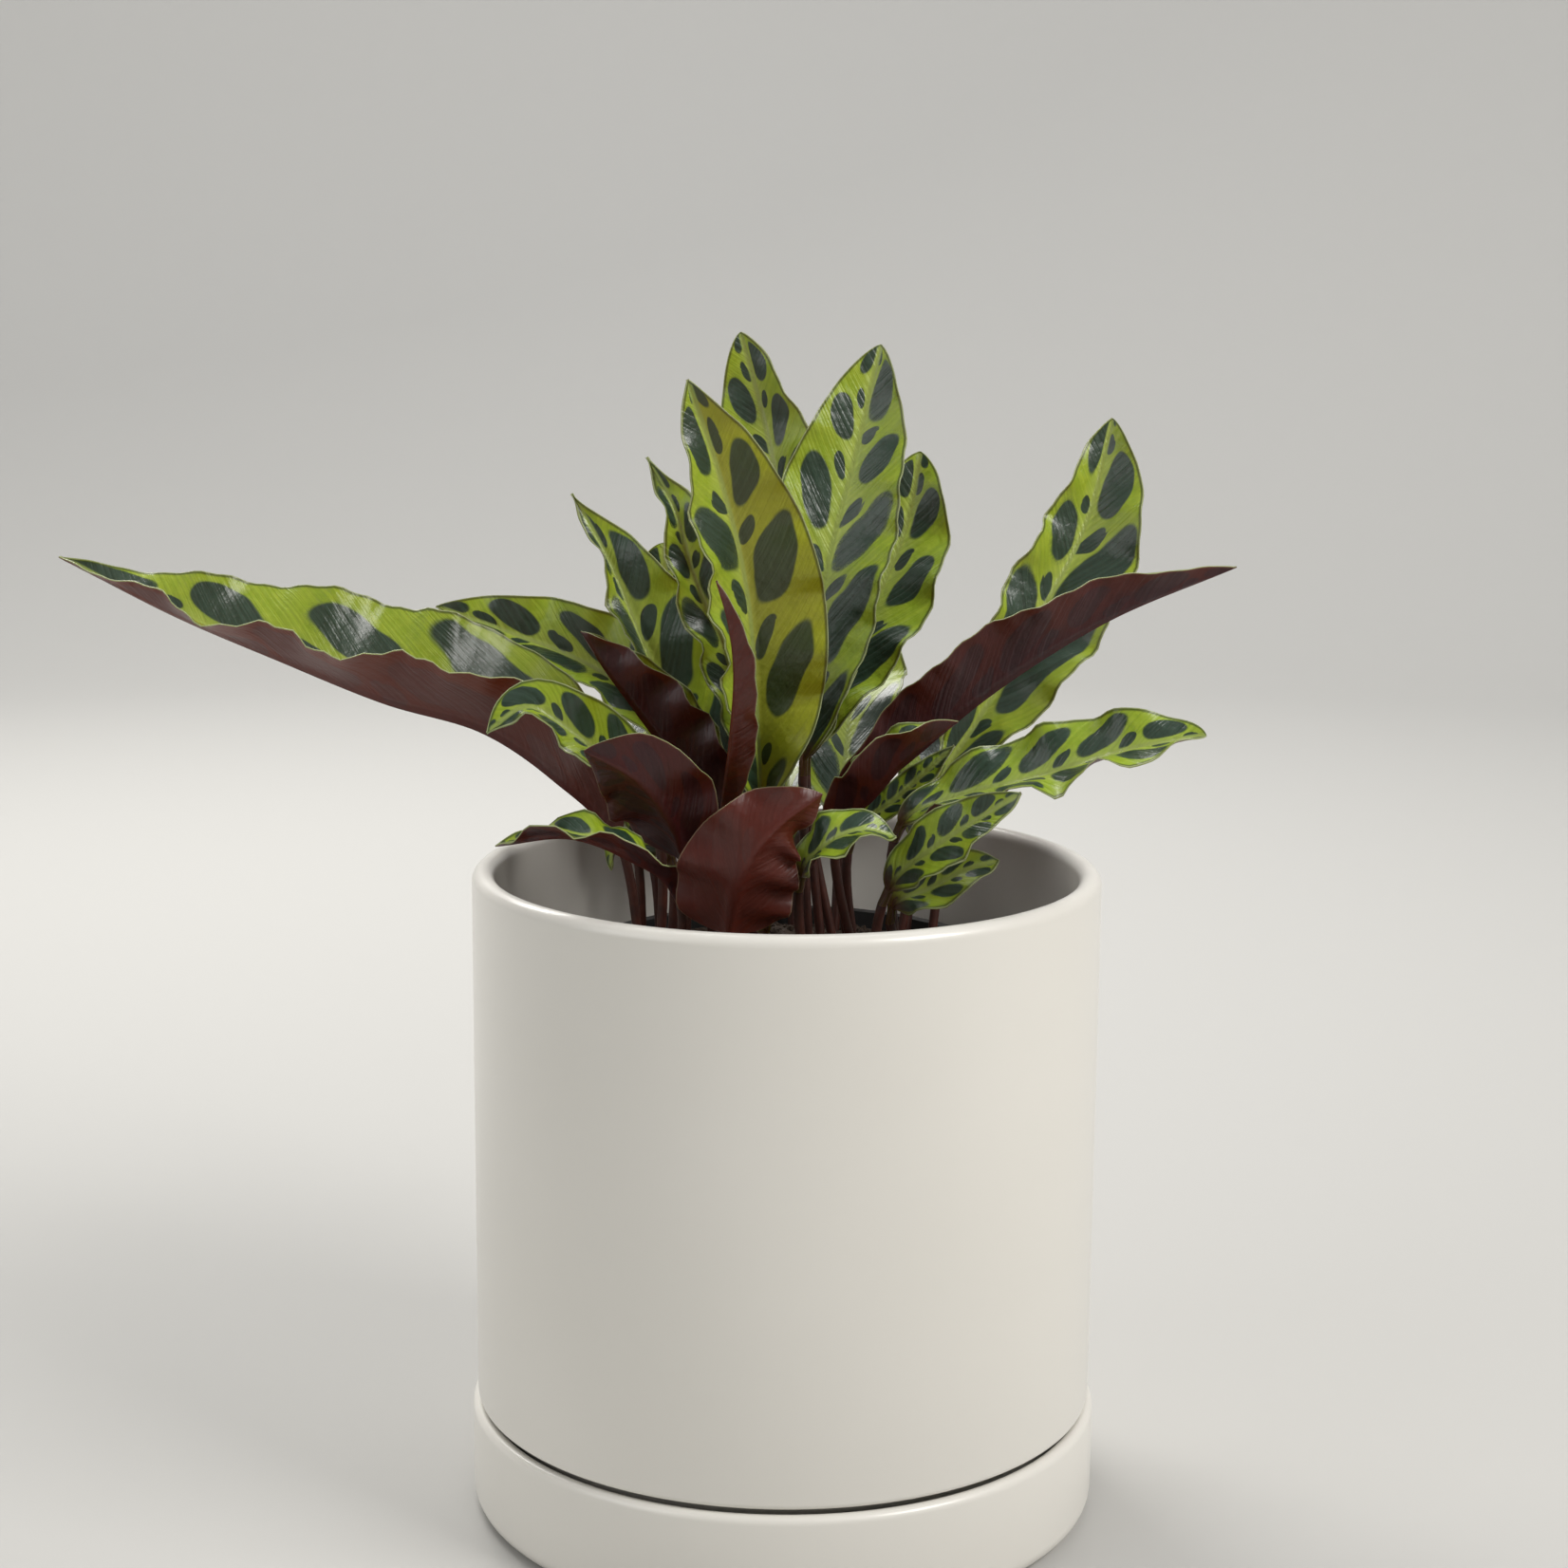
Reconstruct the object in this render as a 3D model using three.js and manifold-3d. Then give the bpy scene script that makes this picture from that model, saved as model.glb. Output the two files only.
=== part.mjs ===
// Potted rattlesnake plant. Lance-shaped leaves with waved edges stand on their own stalks in a black
// grower's pot, which stands inside a straight glazed pot with a matching saucer.
// Millimetres, +Z up, the front is -Y. The origin is on the floor, on the common axis of the pots.

import * as THREE from 'three'
import { mergeVertices } from 'three/addons/utils/BufferGeometryUtils.js'
import Module from 'manifold-3d'

const wasm = await Module()
wasm.setup()

// Driving dimensions

const GAP = 0.3 // between pieces that touch
const ROUND_STEPS = 48 // facets round the glazed pieces
const SAUCER = {
  height: 34.5,
  radius: 101.6,
  edgeRound: 6,
  wall: 5,
  floor: 6,
}
const POT = {
  radius: 100,
  top: 209.5,
  wall: 7.2,
  floor: 9,
  footRadius: 95,
  lowerRound: 2,
  shadowLine: 1.5, // open line between the saucer's rim and the pot's wall
  drainRadius: 8,
}
const GROWER = {
  rimRadius: 65,
  baseRadius: 52,
  wall: 1.6,
  lip: 2.2,
  lipHeight: 5,
  top: 181,
  drainRadius: 5,
  drainCircle: 34,
  drains: 5,
}
const SOIL = {
  level: 176, // at the edge
  mound: 4, // height of the middle above the edge
  clearance: 0.6,
}
const LEAF = {
  thickness: 0.8,
  stalkRadius: 1.5,
  rootDepth: 10, // below the soil's edge
  socket: 22, // straight length of stalk, from its foot to just above the soil
  stalkSteps: 3, // from there to the collar
  stationStep: 7.5, // along a blade
  across: [-1, -0.5, 0, 0.5, 1], // left margin, left half, midrib, right half, right margin
  tipWidth: 0.4,
}

// The leaves. foot is where the stalk enters the soil, midrib runs from the collar, where the blade
// starts, to the tip. look is the way the upper face looks, from the collar to the tip. half is the
// widest half blade and fold the angle in degrees by which a half rises out of the flat, left then
// right, as seen with the tip up; a fold with several values changes along the blade. wave is the
// height of the margin's waves, their number, and where they start on the left and on the right.
// form is how slowly the blade widens from the collar and narrows to the tip.

const LEAVES = [
  {
    name: 'leaf_tall_front',
    foot: [-6, -16],
    midrib: [[-8, -20, 232], [-10, -29, 266], [-13, -38, 302], [-20, -46, 333], [-30, -52, 364]],
    look: [[0.1, -1, 0], [0.15, -1, -0.05], [0.1, -1, -0.15]],
    half: [20, 23.5],
    fold: [[40, 62, 55, 45, 30], [75, 12, 5, 5, 20]],
    wave: [2.2, 5, 0.1, 0.5],
    form: [0.7, 0.85],
  },
  {
    name: 'leaf_tall_back',
    foot: [4, 28],
    midrib: [[6, 36, 237], [4, 48, 274], [-1, 62, 310], [-9, 76, 348], [-17, 80, 376]],
    look: [[-0.1, -1, 0.2], [-0.2, -1, 0.3]],
    half: [20, 18],
    fold: [[5], [30]],
    wave: [3, 5, 0.3, 0],
    form: [0.8, 0.7],
  },
  {
    name: 'leaf_tall_middle',
    foot: [8, 2],
    midrib: [[5, 7, 242], [8, 11, 272], [12, 18, 302], [21, 28, 338], [29, 36, 373]],
    look: [[-0.2, -1, 0.3], [-0.1, -1, 0.5]],
    half: [22, 21.5],
    fold: [[20], [20]],
    wave: [1.8, 4, 0.1, 0.55],
    form: [0.75, 0.75],
  },
  {
    name: 'leaf_tall_right',
    foot: [18, 18],
    midrib: [[6, 22, 240], [15, 29, 265], [28, 38, 289], [39, 48, 315], [43, 52, 338]],
    look: [[-0.3, -1, 0.2], [-0.2, -1, 0.3]],
    half: [19, 19],
    fold: [[15], [15]],
    wave: [2.5, 4.5, 0, 0.35],
    form: [0.8, 0.7],
  },
  {
    name: 'leaf_inner_small',
    foot: [13, 10],
    midrib: [[6, 15, 241], [9, 20, 259], [14, 26, 280], [17, 30, 301]],
    look: [[-0.2, -1, 0.2], [-0.2, -1, 0.2]],
    half: [11, 11],
    fold: [[20], [20]],
    wave: [2, 3, 0, 0.35],
    form: [0.7, 0.85],
  },
  {
    name: 'leaf_curled_tip',
    foot: [-14, -4],
    midrib: [[-13, -8, 245], [-19, -12, 278], [-29, -15, 302], [-35, -17, 323], [-44, -10, 339]],
    look: [[-0.2, -1, 0.2], [-0.3, -1, 0.2]],
    half: [10, 16],
    fold: [[50], [20]],
    wave: [2.5, 5, 0.2, 0.6],
    form: [0.7, 1.1],
  },
  {
    name: 'leaf_broad_left',
    foot: [-20, 4],
    midrib: [[-25, 4, 227], [-34, 4, 252], [-46, 6, 279], [-56, 9, 303], [-69, 14, 326]],
    look: [[-0.2, -1, 0.3], [-0.2, -1, 0.3]],
    half: [10, 26],
    fold: [[65], [10]],
    wave: [2.5, 4, 0.1, 0.4],
    form: [0.7, 1.25],
  },
  {
    name: 'leaf_short_behind',
    foot: [-8, 18],
    midrib: [[-21, 21, 240], [-31, 26, 270], [-39, 31, 294], [-41, 32, 309]],
    look: [[-0.1, -1, 0.2], [-0.1, -1, 0.2]],
    half: [13, 13],
    fold: [[15], [15]],
    wave: [2, 3, 0.1, 0.4],
    form: [0.7, 0.5],
  },
  {
    name: 'leaf_rolled_edge',
    foot: [-18, -30],
    midrib: [[-18, -40, 233], [-16, -54, 256], [-15, -64, 280], [-17, -68, 295], [-21, -66, 307]],
    look: [[1, 0.3, 0], [1, 0.3, 0]],
    half: [7, 7],
    fold: [[50], [50]],
    wave: [1, 3, 0.1, 0.4],
    form: [0.7, 0.85],
  },
  {
    name: 'leaf_folded_maroon',
    foot: [-24, -14],
    midrib: [[-20, -18, 222], [-35, -22, 247], [-46, -22, 262], [-56, -22, 275], [-64, -18, 286]],
    look: [[0.7, 0.2, 0.7], [0.7, 0.1, 0.6]],
    half: [17, 17],
    fold: [[65], [80]],
    wave: [3, 5, 0.1, 0.4],
    form: [0.7, 0.85],
  },
  {
    name: 'leaf_long_left',
    foot: [-44, -18],
    midrib: [[-53, -22, 223], [-71, -24, 242], [-93, -26, 257], [-123, -28, 266], [-156, -28, 279], [-186, -26, 291], [-223, -20, 308]],
    look: [[0.2, 0.2, 1], [0.1, 0.15, 1]],
    half: [25, 33],
    fold: [[30, 44, 26, 14, 35], [60, 68, 68, 62, 55]],
    wave: [3, 5, 0.1, 0.35],
    form: [0.62, 1.1],
  },
  {
    name: 'leaf_back_left',
    foot: [-24, 24],
    midrib: [[-29, 29, 229], [-47, 36, 255], [-66, 44, 267], [-91, 52, 276], [-118, 56, 285]],
    look: [[-0.1, -0.8, 0.5], [-0.05, -0.75, 0.6]],
    half: [12, 19],
    fold: [[35], [35]],
    wave: [2.5, 5, 0.1, 0.35],
    form: [0.7, 0.85],
  },
  {
    name: 'leaf_curled_left',
    foot: [-40, -30],
    midrib: [[-40, -36, 228], [-54, -42, 249], [-67, -46, 261], [-78, -48, 267], [-90, -48, 259]],
    look: [[-0.1, -0.6, 0.7], [-0.3, -0.6, 0.7]],
    half: [7, 13],
    fold: [[20], [35]],
    wave: [2, 3, 0.1, 0.35],
    form: [0.7, 0.85],
  },
  {
    name: 'leaf_dark_left',
    foot: [-32, -42],
    midrib: [[-31, -48, 221], [-37, -55, 238], [-46, -60, 249], [-60, -60, 256]],
    look: [[0.2, 1, 0.3], [0.2, 1, 0.3]],
    half: [17, 17],
    fold: [[10], [10]],
    wave: [2, 3, 0.1, 0.4],
    form: [0.7, 0.85],
  },
  {
    name: 'leaf_small_pale',
    foot: [-38, -2],
    midrib: [[-37, -2, 211], [-44, -4, 221], [-53, -6, 233]],
    look: [[-0.3, -0.8, 0.5], [-0.3, -0.8, 0.5]],
    half: [6, 6],
    fold: [[20], [20]],
    wave: [1, 2, 0.1, 0.4],
    form: [0.7, 0.85],
  },
  {
    name: 'leaf_over_rim',
    foot: [-34, -46],
    midrib: [[-33, -56, 214], [-47, -64, 226], [-64, -62, 231], [-87, -54, 226]],
    look: [[0.1, 0.1, 1], [0.1, 0, 1]],
    half: [11, 11],
    fold: [[20], [30]],
    wave: [2, 3, 0.1, 0.4],
    form: [0.7, 0.85],
  },
  {
    name: 'leaf_spear_left',
    foot: [-46, 4],
    midrib: [[-49, 2, 218], [-59, 4, 239], [-69, 6, 258], [-73, 6, 269]],
    look: [[0.3, -1, 0.3], [0.3, -1, 0.3]],
    half: [3, 3],
    fold: [[60], [60]],
    wave: [0.3, 3, 0.1, 0.4],
    form: [0.7, 0.85],
  },
  {
    name: 'leaf_small_hanging',
    foot: [-40, 14],
    midrib: [[-45, 14, 210], [-51, 12, 214], [-56, 10, 212], [-57, 10, 205]],
    look: [[-0.4, -0.5, 0.9], [-0.8, -0.5, 0.4]],
    half: [4.5, 4.5],
    fold: [[20], [20]],
    wave: [0.5, 2, 0.1, 0.4],
    form: [0.7, 0.85],
  },
  {
    name: 'leaf_front_maroon',
    foot: [-14, -52],
    midrib: [[-17, -64, 202], [-13, -72, 222], [-5, -74, 235], [10, -68, 245]],
    look: [[0.1, 1, 0.2], [-0.1, 1, 0.4]],
    half: [18, 19],
    fold: [[15], [15]],
    wave: [3, 4, 0.1, 0.4],
    form: [0.3, 0.75],
  },
  {
    name: 'leaf_front_small',
    foot: [8, -50],
    midrib: [[4, -62, 219], [10, -68, 229], [21, -70, 235], [32, -66, 232]],
    look: [[-0.5, -0.6, 0.6], [0, -0.5, 0.9]],
    half: [9, 9],
    fold: [[20], [20]],
    wave: [2, 2.5, 0.1, 0.4],
    form: [0.7, 0.85],
  },
  {
    name: 'sprout_front',
    foot: [-4, -46],
    midrib: [[-6, -48, 198], [-8, -50, 203], [-6, -52, 209]],
    look: [[-0.2, -1, 0.3], [-0.2, -1, 0.3]],
    half: [3, 3],
    fold: [[30], [30]],
    wave: [0.2, 2, 0.1, 0.4],
    form: [0.7, 0.85],
    stalk: 0.7,
  },
  {
    name: 'leaf_upright_right',
    foot: [34, 14],
    midrib: [[48, 22, 229], [62, 29, 252], [81, 40, 283], [98, 52, 314], [107, 60, 349]],
    look: [[-0.4, -1, 0.3], [-0.3, -1, 0.3]],
    half: [16, 24],
    fold: [[45], [12]],
    wave: [2.5, 5, 0.1, 0.4],
    form: [0.9, 0.75],
  },
  {
    name: 'leaf_long_right',
    foot: [22, -6],
    midrib: [[18, -10, 230], [36, -13, 246], [64, -18, 270], [98, -22, 292], [136, -24, 308]],
    look: [[-0.3, 0.1, 0.9], [-0.2, 0, 1]],
    half: [15, 19],
    fold: [[78], [64]],
    wave: [2, 4, 0.1, 0.3],
    form: [0.6, 0.9],
  },
  {
    name: 'leaf_folded_right',
    foot: [26, -22],
    midrib: [[15, -28, 225], [26, -38, 240], [37, -44, 253], [51, -44, 263]],
    look: [[-0.5, 0.1, 0.8], [-0.5, 0.1, 0.8]],
    half: [13, 13],
    fold: [[60], [55]],
    wave: [2, 3, 0.1, 0.4],
    form: [0.7, 0.85],
  },
  {
    name: 'leaf_sliver_right',
    foot: [24, -14],
    midrib: [[20, -19, 222], [34, -23, 236], [51, -28, 253]],
    look: [[-0.3, -1, 0.3], [-0.3, -1, 0.3]],
    half: [5, 5],
    fold: [[15], [15]],
    wave: [0.6, 3, 0.1, 0.4],
    form: [0.7, 0.85],
  },
  {
    name: 'leaf_waved_right',
    foot: [36, -32],
    midrib: [[34, -40, 230], [51, -48, 241], [73, -54, 248], [100, -62, 258], [122, -66, 263]],
    look: [[-0.2, -0.6, 0.8], [0, -0.5, 0.9]],
    half: [14.5, 14.5],
    fold: [[28], [25]],
    wave: [3.5, 4, 0.1, 0.5],
    form: [0.75, 0.6],
  },
  {
    name: 'leaf_low_right',
    foot: [24, -48],
    midrib: [[30, -58, 214], [43, -67, 229], [55, -75, 239], [67, -80, 248]],
    look: [[-0.3, -0.8, 0.5], [-0.3, -0.8, 0.5]],
    half: [9.5, 9.5],
    fold: [[15], [15]],
    wave: [1.5, 2.5, 0.1, 0.4],
    form: [0.7, 0.85],
  },
  {
    name: 'leaf_inner_right',
    foot: [42, -36],
    midrib: [[32, -42, 205], [43, -46, 212], [53, -48, 218], [64, -46, 221]],
    look: [[-0.1, -0.8, 0.6], [-0.1, -0.8, 0.6]],
    half: [9, 9],
    fold: [[20], [20]],
    wave: [1.5, 2.5, 0.1, 0.4],
    form: [0.7, 0.85],
  },
  {
    name: 'leaf_rear_left_tall',
    foot: [-10, 42],
    midrib: [[-14, 52, 214], [-20, 76, 248], [-30, 112, 278], [-44, 150, 286]],
    look: [[0.1, -0.8, 0.7], [0.1, -0.3, 1]],
    half: [20, 20],
    fold: [[20], [20]],
    wave: [2.5, 4, 0.1, 0.5],
    form: [0.7, 0.85],
  },
  {
    name: 'leaf_rear_right_tall',
    foot: [16, 42],
    midrib: [[18, 54, 212], [21, 80, 240], [24, 112, 262], [24, 146, 264]],
    look: [[-0.1, -0.8, 0.7], [-0.1, -0.3, 1]],
    half: [20, 20],
    fold: [[20], [20]],
    wave: [2.5, 4, 0.1, 0.5],
    form: [0.7, 0.85],
  },
  {
    name: 'leaf_rear_right_low',
    foot: [38, 26],
    midrib: [[44, 38, 208], [54, 58, 228], [68, 86, 242], [80, 118, 240]],
    look: [[-0.5, -0.6, 0.8], [-0.2, -0.2, 1]],
    half: [18, 18],
    fold: [[25], [25]],
    wave: [2.5, 4, 0.2, 0.6],
    form: [0.7, 0.85],
  },
  {
    name: 'leaf_rear_left_low',
    foot: [-34, 30],
    midrib: [[-39, 40, 206], [-50, 60, 228], [-64, 88, 240], [-76, 120, 232]],
    look: [[0.5, -0.6, 0.8], [0.2, -0.2, 1]],
    half: [18, 18],
    fold: [[25], [25]],
    wave: [2.5, 4, 0.3, 0.7],
    form: [0.7, 0.85],
  },
  {
    name: 'leaf_rear_low',
    foot: [2, 54],
    midrib: [[2, 64, 202], [1, 86, 218], [-2, 112, 224], [-4, 138, 212]],
    look: [[0, -0.6, 0.8], [0, 0.1, 1]],
    half: [16, 16],
    fold: [[25], [25]],
    wave: [2, 4, 0.4, 0.8],
    form: [0.7, 0.85],
  },
  {
    name: 'leaf_behind_right',
    foot: [46, 20],
    midrib: [[56, 34, 233], [73, 66, 260], [91, 98, 281], [103, 126, 302]],
    look: [[-0.5, -0.7, 0.6], [-0.3, -0.6, 0.8]],
    half: [14, 14],
    fold: [[25], [25]],
    wave: [2.5, 4, 0.2, 0.6],
    form: [0.7, 0.85],
  },
]

// Closed solids

// A closed surface through rings of points, with a flat fan at each end. From ring corner `turn` on,
// each four-sided field is split along its other diagonal, so that the lower face of a blade has the
// same triangles as the upper one.
function skin(rings, turn = Infinity) {
  const count = rings[0].length
  const positions = rings.flat().flatMap((point) => point.toArray())
  const index = []
  for (let ring = 0; ring < rings.length - 1; ring++) {
    for (let corner = 0; corner < count; corner++) {
      const next = (corner + 1) % count
      const a = ring * count + corner
      const b = ring * count + next
      const c = b + count
      const d = a + count
      if (corner < turn) index.push(a, b, c, a, c, d)
      else index.push(a, b, d, b, c, d)
    }
  }
  for (const [ring, outward] of [[0, false], [rings.length - 1, true]]) {
    const middle = positions.length / 3
    const centre = new THREE.Vector3()
    for (const point of rings[ring]) centre.add(point)
    positions.push(...centre.divideScalar(count).toArray())
    for (let corner = 0; corner < count; corner++) {
      const a = ring * count + corner
      const b = ring * count + ((corner + 1) % count)
      index.push(middle, ...(outward ? [a, b] : [b, a]))
    }
  }
  const geometry = new THREE.BufferGeometry()
  geometry.setAttribute('position', new THREE.Float32BufferAttribute(positions, 3))
  geometry.setIndex(index)
  return geometry
}

// A profile of [radius, height] points turned about the vertical axis
function turned(profile, steps) {
  const points = profile.map(([radius, height]) => new THREE.Vector2(radius, height))
  const lathe = new THREE.LatheGeometry(points, steps)
  lathe.rotateX(Math.PI / 2) // the lathe's axis is Y
  return welded(lathe)
}

function welded(geometry) {
  geometry.deleteAttribute('normal')
  geometry.deleteAttribute('uv')
  return mergeVertices(geometry, 1e-3)
}

// Points of a quarter circle in a profile, from one angle to another in degrees
function arc(radius, height, round, from, to, steps = 3) {
  return Array.from({ length: steps + 1 }, (_, step) => {
    const angle = THREE.MathUtils.degToRad(from + ((to - from) * step) / steps)
    return [radius + round * Math.cos(angle), height + round * Math.sin(angle)]
  })
}

function solid(geometry) {
  return new wasm.Manifold(
    new wasm.Mesh({
      numProp: 3,
      vertProperties: new Float32Array(geometry.attributes.position.array),
      triVerts: new Uint32Array(geometry.index.array),
    }),
  )
}

function cut(geometry, cutters) {
  let body = solid(geometry)
  for (const cutter of cutters) body = body.subtract(solid(cutter))
  const mesh = body.getMesh()
  const result = new THREE.BufferGeometry()
  result.setAttribute('position', new THREE.BufferAttribute(mesh.vertProperties, 3))
  result.setIndex(new THREE.BufferAttribute(mesh.triVerts, 1))
  return result
}

// An upright plug through a floor, to cut a drainage hole
function plug(x, y, radius, bottom, top) {
  const cylinder = welded(new THREE.CylinderGeometry(radius, radius, top - bottom, 16))
  cylinder.rotateX(Math.PI / 2)
  cylinder.translate(x, y, (top + bottom) / 2)
  return cylinder
}

// Pots, saucer and soil

function saucerSolid() {
  const { height, radius, edgeRound, wall, floor } = SAUCER
  const inner = radius - wall
  const lip = wall / 2
  return turned(
    [
      [0, 0],
      ...arc(radius - edgeRound, edgeRound, edgeRound, -90, 0),
      ...arc(radius - lip, height - lip, lip, 0, 180, 6),
      ...arc(inner - 1.2, floor + 1.2, 1.2, 0, -90, 2),
      [0, floor],
    ],
    ROUND_STEPS,
  )
}

const potBottom = SAUCER.floor + GAP
const potFloor = potBottom + POT.floor
const wallBottom = SAUCER.height + POT.shadowLine

function potSolid() {
  const { radius, top, wall, footRadius, lowerRound, drainRadius } = POT
  const inner = radius - wall
  const lip = wall / 2
  return turned(
    [
      [drainRadius, potBottom],
      [footRadius, potBottom],
      [footRadius, wallBottom],
      ...arc(radius - lowerRound, wallBottom + lowerRound, lowerRound, -90, 0, 2),
      ...arc(radius - lip, top - lip, lip, 0, 180, 5),
      ...arc(inner - 6, potFloor + 6, 6, 0, -90, 2),
      [drainRadius, potFloor],
      [drainRadius, potBottom],
    ],
    ROUND_STEPS,
  )
}

const growerBottom = potFloor + GAP
const growerFloor = growerBottom + GROWER.wall

// Outer radius of the grower's pot at a height
function growerRadius(height) {
  const share = (height - growerBottom) / (GROWER.top - growerBottom)
  return THREE.MathUtils.lerp(GROWER.baseRadius, GROWER.rimRadius, share)
}

function growerSolid() {
  const { rimRadius, baseRadius, wall, lip, lipHeight, top } = GROWER
  const under = top - lipHeight
  const pot = turned(
    [
      [0, growerBottom],
      [baseRadius, growerBottom],
      [growerRadius(under), under],
      [rimRadius + lip, under],
      [rimRadius + lip, top],
      [rimRadius - wall, top],
      [baseRadius - wall, growerFloor],
      [0, growerFloor],
    ],
    36,
  )
  const holes = Array.from({ length: GROWER.drains }, (_, hole) => {
    const angle = (2 * Math.PI * hole) / GROWER.drains
    const x = GROWER.drainCircle * Math.cos(angle)
    const y = GROWER.drainCircle * Math.sin(angle)
    return plug(x, y, GROWER.drainRadius, growerBottom - 1, growerFloor + 1)
  })
  return cut(pot, holes)
}

// Height of the soil, which is heaped up round the stalks
function soilHeight(x, y) {
  const edge = growerRadius(SOIL.level) - GROWER.wall
  const share = Math.min(Math.hypot(x, y) / edge, 1)
  return SOIL.level + SOIL.mound * (1 - share * share)
}

function soilSolid(holes) {
  const bottom = growerFloor + GAP
  const radiusAt = (height) => growerRadius(height) - GROWER.wall - SOIL.clearance
  const edge = radiusAt(SOIL.level)
  const heap = [1, 0.75, 0.45, 0.15].map((share) => [edge * share, soilHeight(edge * share, 0)])
  const body = turned([[0, bottom], [radiusAt(bottom), bottom], ...heap, [0, soilHeight(0, 0)]], 36)
  return cut(body, holes)
}

// Leaves

function valueAlong(values, share) {
  if (values.length === 1) return values[0]
  const place = share * (values.length - 1)
  const knot = Math.min(Math.floor(place), values.length - 2)
  return THREE.MathUtils.lerp(values[knot], values[knot + 1], place - knot)
}

function midribOf(leaf) {
  const foot = [...leaf.foot, SOIL.level - LEAF.rootDepth]
  const points = [foot, ...leaf.midrib].map((point) => new THREE.Vector3(...point))
  const path = new THREE.CatmullRomCurve3(points)
  const divisions = 64 * (points.length - 1)
  path.arcLengthDivisions = divisions
  const lengths = path.getLengths(divisions)
  return { path, collar: lengths[64], total: lengths[divisions] }
}

// The midrib's place, the way to the right-hand margin and the way that the upper face looks, at a
// distance from the foot. share is 0 at the collar and 1 at the tip.
function frameAt(leaf, { path, collar, total }, distance) {
  const share = THREE.MathUtils.clamp((distance - collar) / (total - collar), 0, 1)
  const before = path.getPointAt(Math.max(distance - 2, 0) / total)
  const after = path.getPointAt(Math.min(distance + 2, total) / total)
  const tangent = after.sub(before).normalize()
  const looks = leaf.look.map((look) => new THREE.Vector3(...look).normalize().toArray())
  const look = new THREE.Vector3(
    ...[0, 1, 2].map((axis) => valueAlong(looks.map((vector) => vector[axis]), share)),
  )
  const face = look.addScaledVector(tangent, -look.dot(tangent)).normalize()
  const side = new THREE.Vector3().crossVectors(tangent, face)
  return { share, middle: path.getPointAt(Math.min(distance / total, 1)), side, face }
}

function place({ middle, side, face }, sideways, upwards) {
  return middle.clone().addScaledVector(side, sideways).addScaledVector(face, upwards)
}

// The stalk's section is round. Its points stand in the order of the blade's section, which it
// opens into.
function stalkRing(frame, radius) {
  const around = LEAF.across.map((across) => THREE.MathUtils.degToRad(78 * across))
  const upper = around.map((angle) => place(frame, radius * Math.sin(angle), radius * Math.cos(angle)))
  const lower = around.map((angle) => place(frame, radius * Math.sin(angle), -radius * Math.cos(angle)))
  return [...upper, ...lower.reverse()]
}

// The blade's section is a flat V of one thickness with the rib under its middle. The margins rise
// and fall across each half in waves that are strongest in the middle of the blade.
function bladeRing(leaf, frame, radius) {
  const { share } = frame
  const [widen, narrow] = leaf.form
  const peak = (widen / (widen + narrow)) ** widen * (narrow / (widen + narrow)) ** narrow
  const outline = (share ** widen * (1 - share) ** narrow) / peak
  const least = THREE.MathUtils.lerp(0.9 * radius, LEAF.tipWidth, share)
  const [height, count, startLeft, startRight] = leaf.wave
  const strength = height * Math.sqrt(Math.max(Math.sin(Math.PI * share), 0))
  const upper = []
  const lower = []
  for (const across of LEAF.across) {
    const right = across < 0 ? 0 : 1
    const out = Math.abs(across)
    const half = Math.max(leaf.half[right] * outline, least)
    const fold = THREE.MathUtils.degToRad(valueAlong(leaf.fold[right], share))
    const phase = 2 * Math.PI * (count * share + (right ? startRight : startLeft))
    const wave = strength * out ** 1.5 * Math.sin(phase)
    const sign = Math.sign(across)
    const sideways = sign * (out * half * Math.cos(fold) - wave * Math.sin(fold))
    const upwards = out * half * Math.sin(fold) + wave * Math.cos(fold)
    const tilt = sign * fold
    const rib = out ? 0 : 1.5 * radius * (1 - share) ** 0.8
    upper.push(place(frame, sideways, upwards))
    lower.unshift(
      place(
        frame,
        sideways + LEAF.thickness * Math.sin(tilt),
        upwards - LEAF.thickness * Math.cos(tilt) - rib,
      ),
    )
  }
  return [...upper, ...lower]
}

// Where the stalk's rings lie: at its foot, just above the soil, and on towards the collar
function stalkDistances({ collar }) {
  const above = Array.from({ length: LEAF.stalkSteps }, (_, step) =>
    THREE.MathUtils.lerp(LEAF.socket, collar, step / LEAF.stalkSteps),
  )
  return [0, ...above]
}

function leafSolid(leaf) {
  const midrib = midribOf(leaf)
  const { collar, total } = midrib
  const radius = LEAF.stalkRadius * (leaf.stalk ?? 1)
  const rings = []
  for (const distance of stalkDistances(midrib)) {
    rings.push(stalkRing(frameAt(leaf, midrib, distance), radius))
  }
  const stations = Math.max(8, Math.round((total - collar) / LEAF.stationStep))
  for (let station = 0; station < stations; station++) {
    const distance = THREE.MathUtils.lerp(collar, total, station / (stations - 1))
    rings.push(bladeRing(leaf, frameAt(leaf, midrib, distance), radius))
  }
  return skin(rings, LEAF.across.length - 1)
}

// The plain hole that a stalk stands in: a six-sided sleeve from just below its foot to above the soil
function stalkHole(leaf) {
  const midrib = midribOf(leaf)
  const radius = (LEAF.stalkRadius * (leaf.stalk ?? 1) + GAP) / Math.cos(Math.PI / 6)
  const rings = [0, LEAF.socket].map((distance) => {
    const frame = frameAt(leaf, midrib, distance)
    if (distance === 0) frame.middle.z -= GAP
    return Array.from({ length: 6 }, (_, corner) => {
      const angle = Math.PI / 2 - (corner * Math.PI) / 3
      return place(frame, radius * Math.cos(angle), radius * Math.sin(angle))
    })
  })
  return skin(rings)
}

// Assembly

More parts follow.
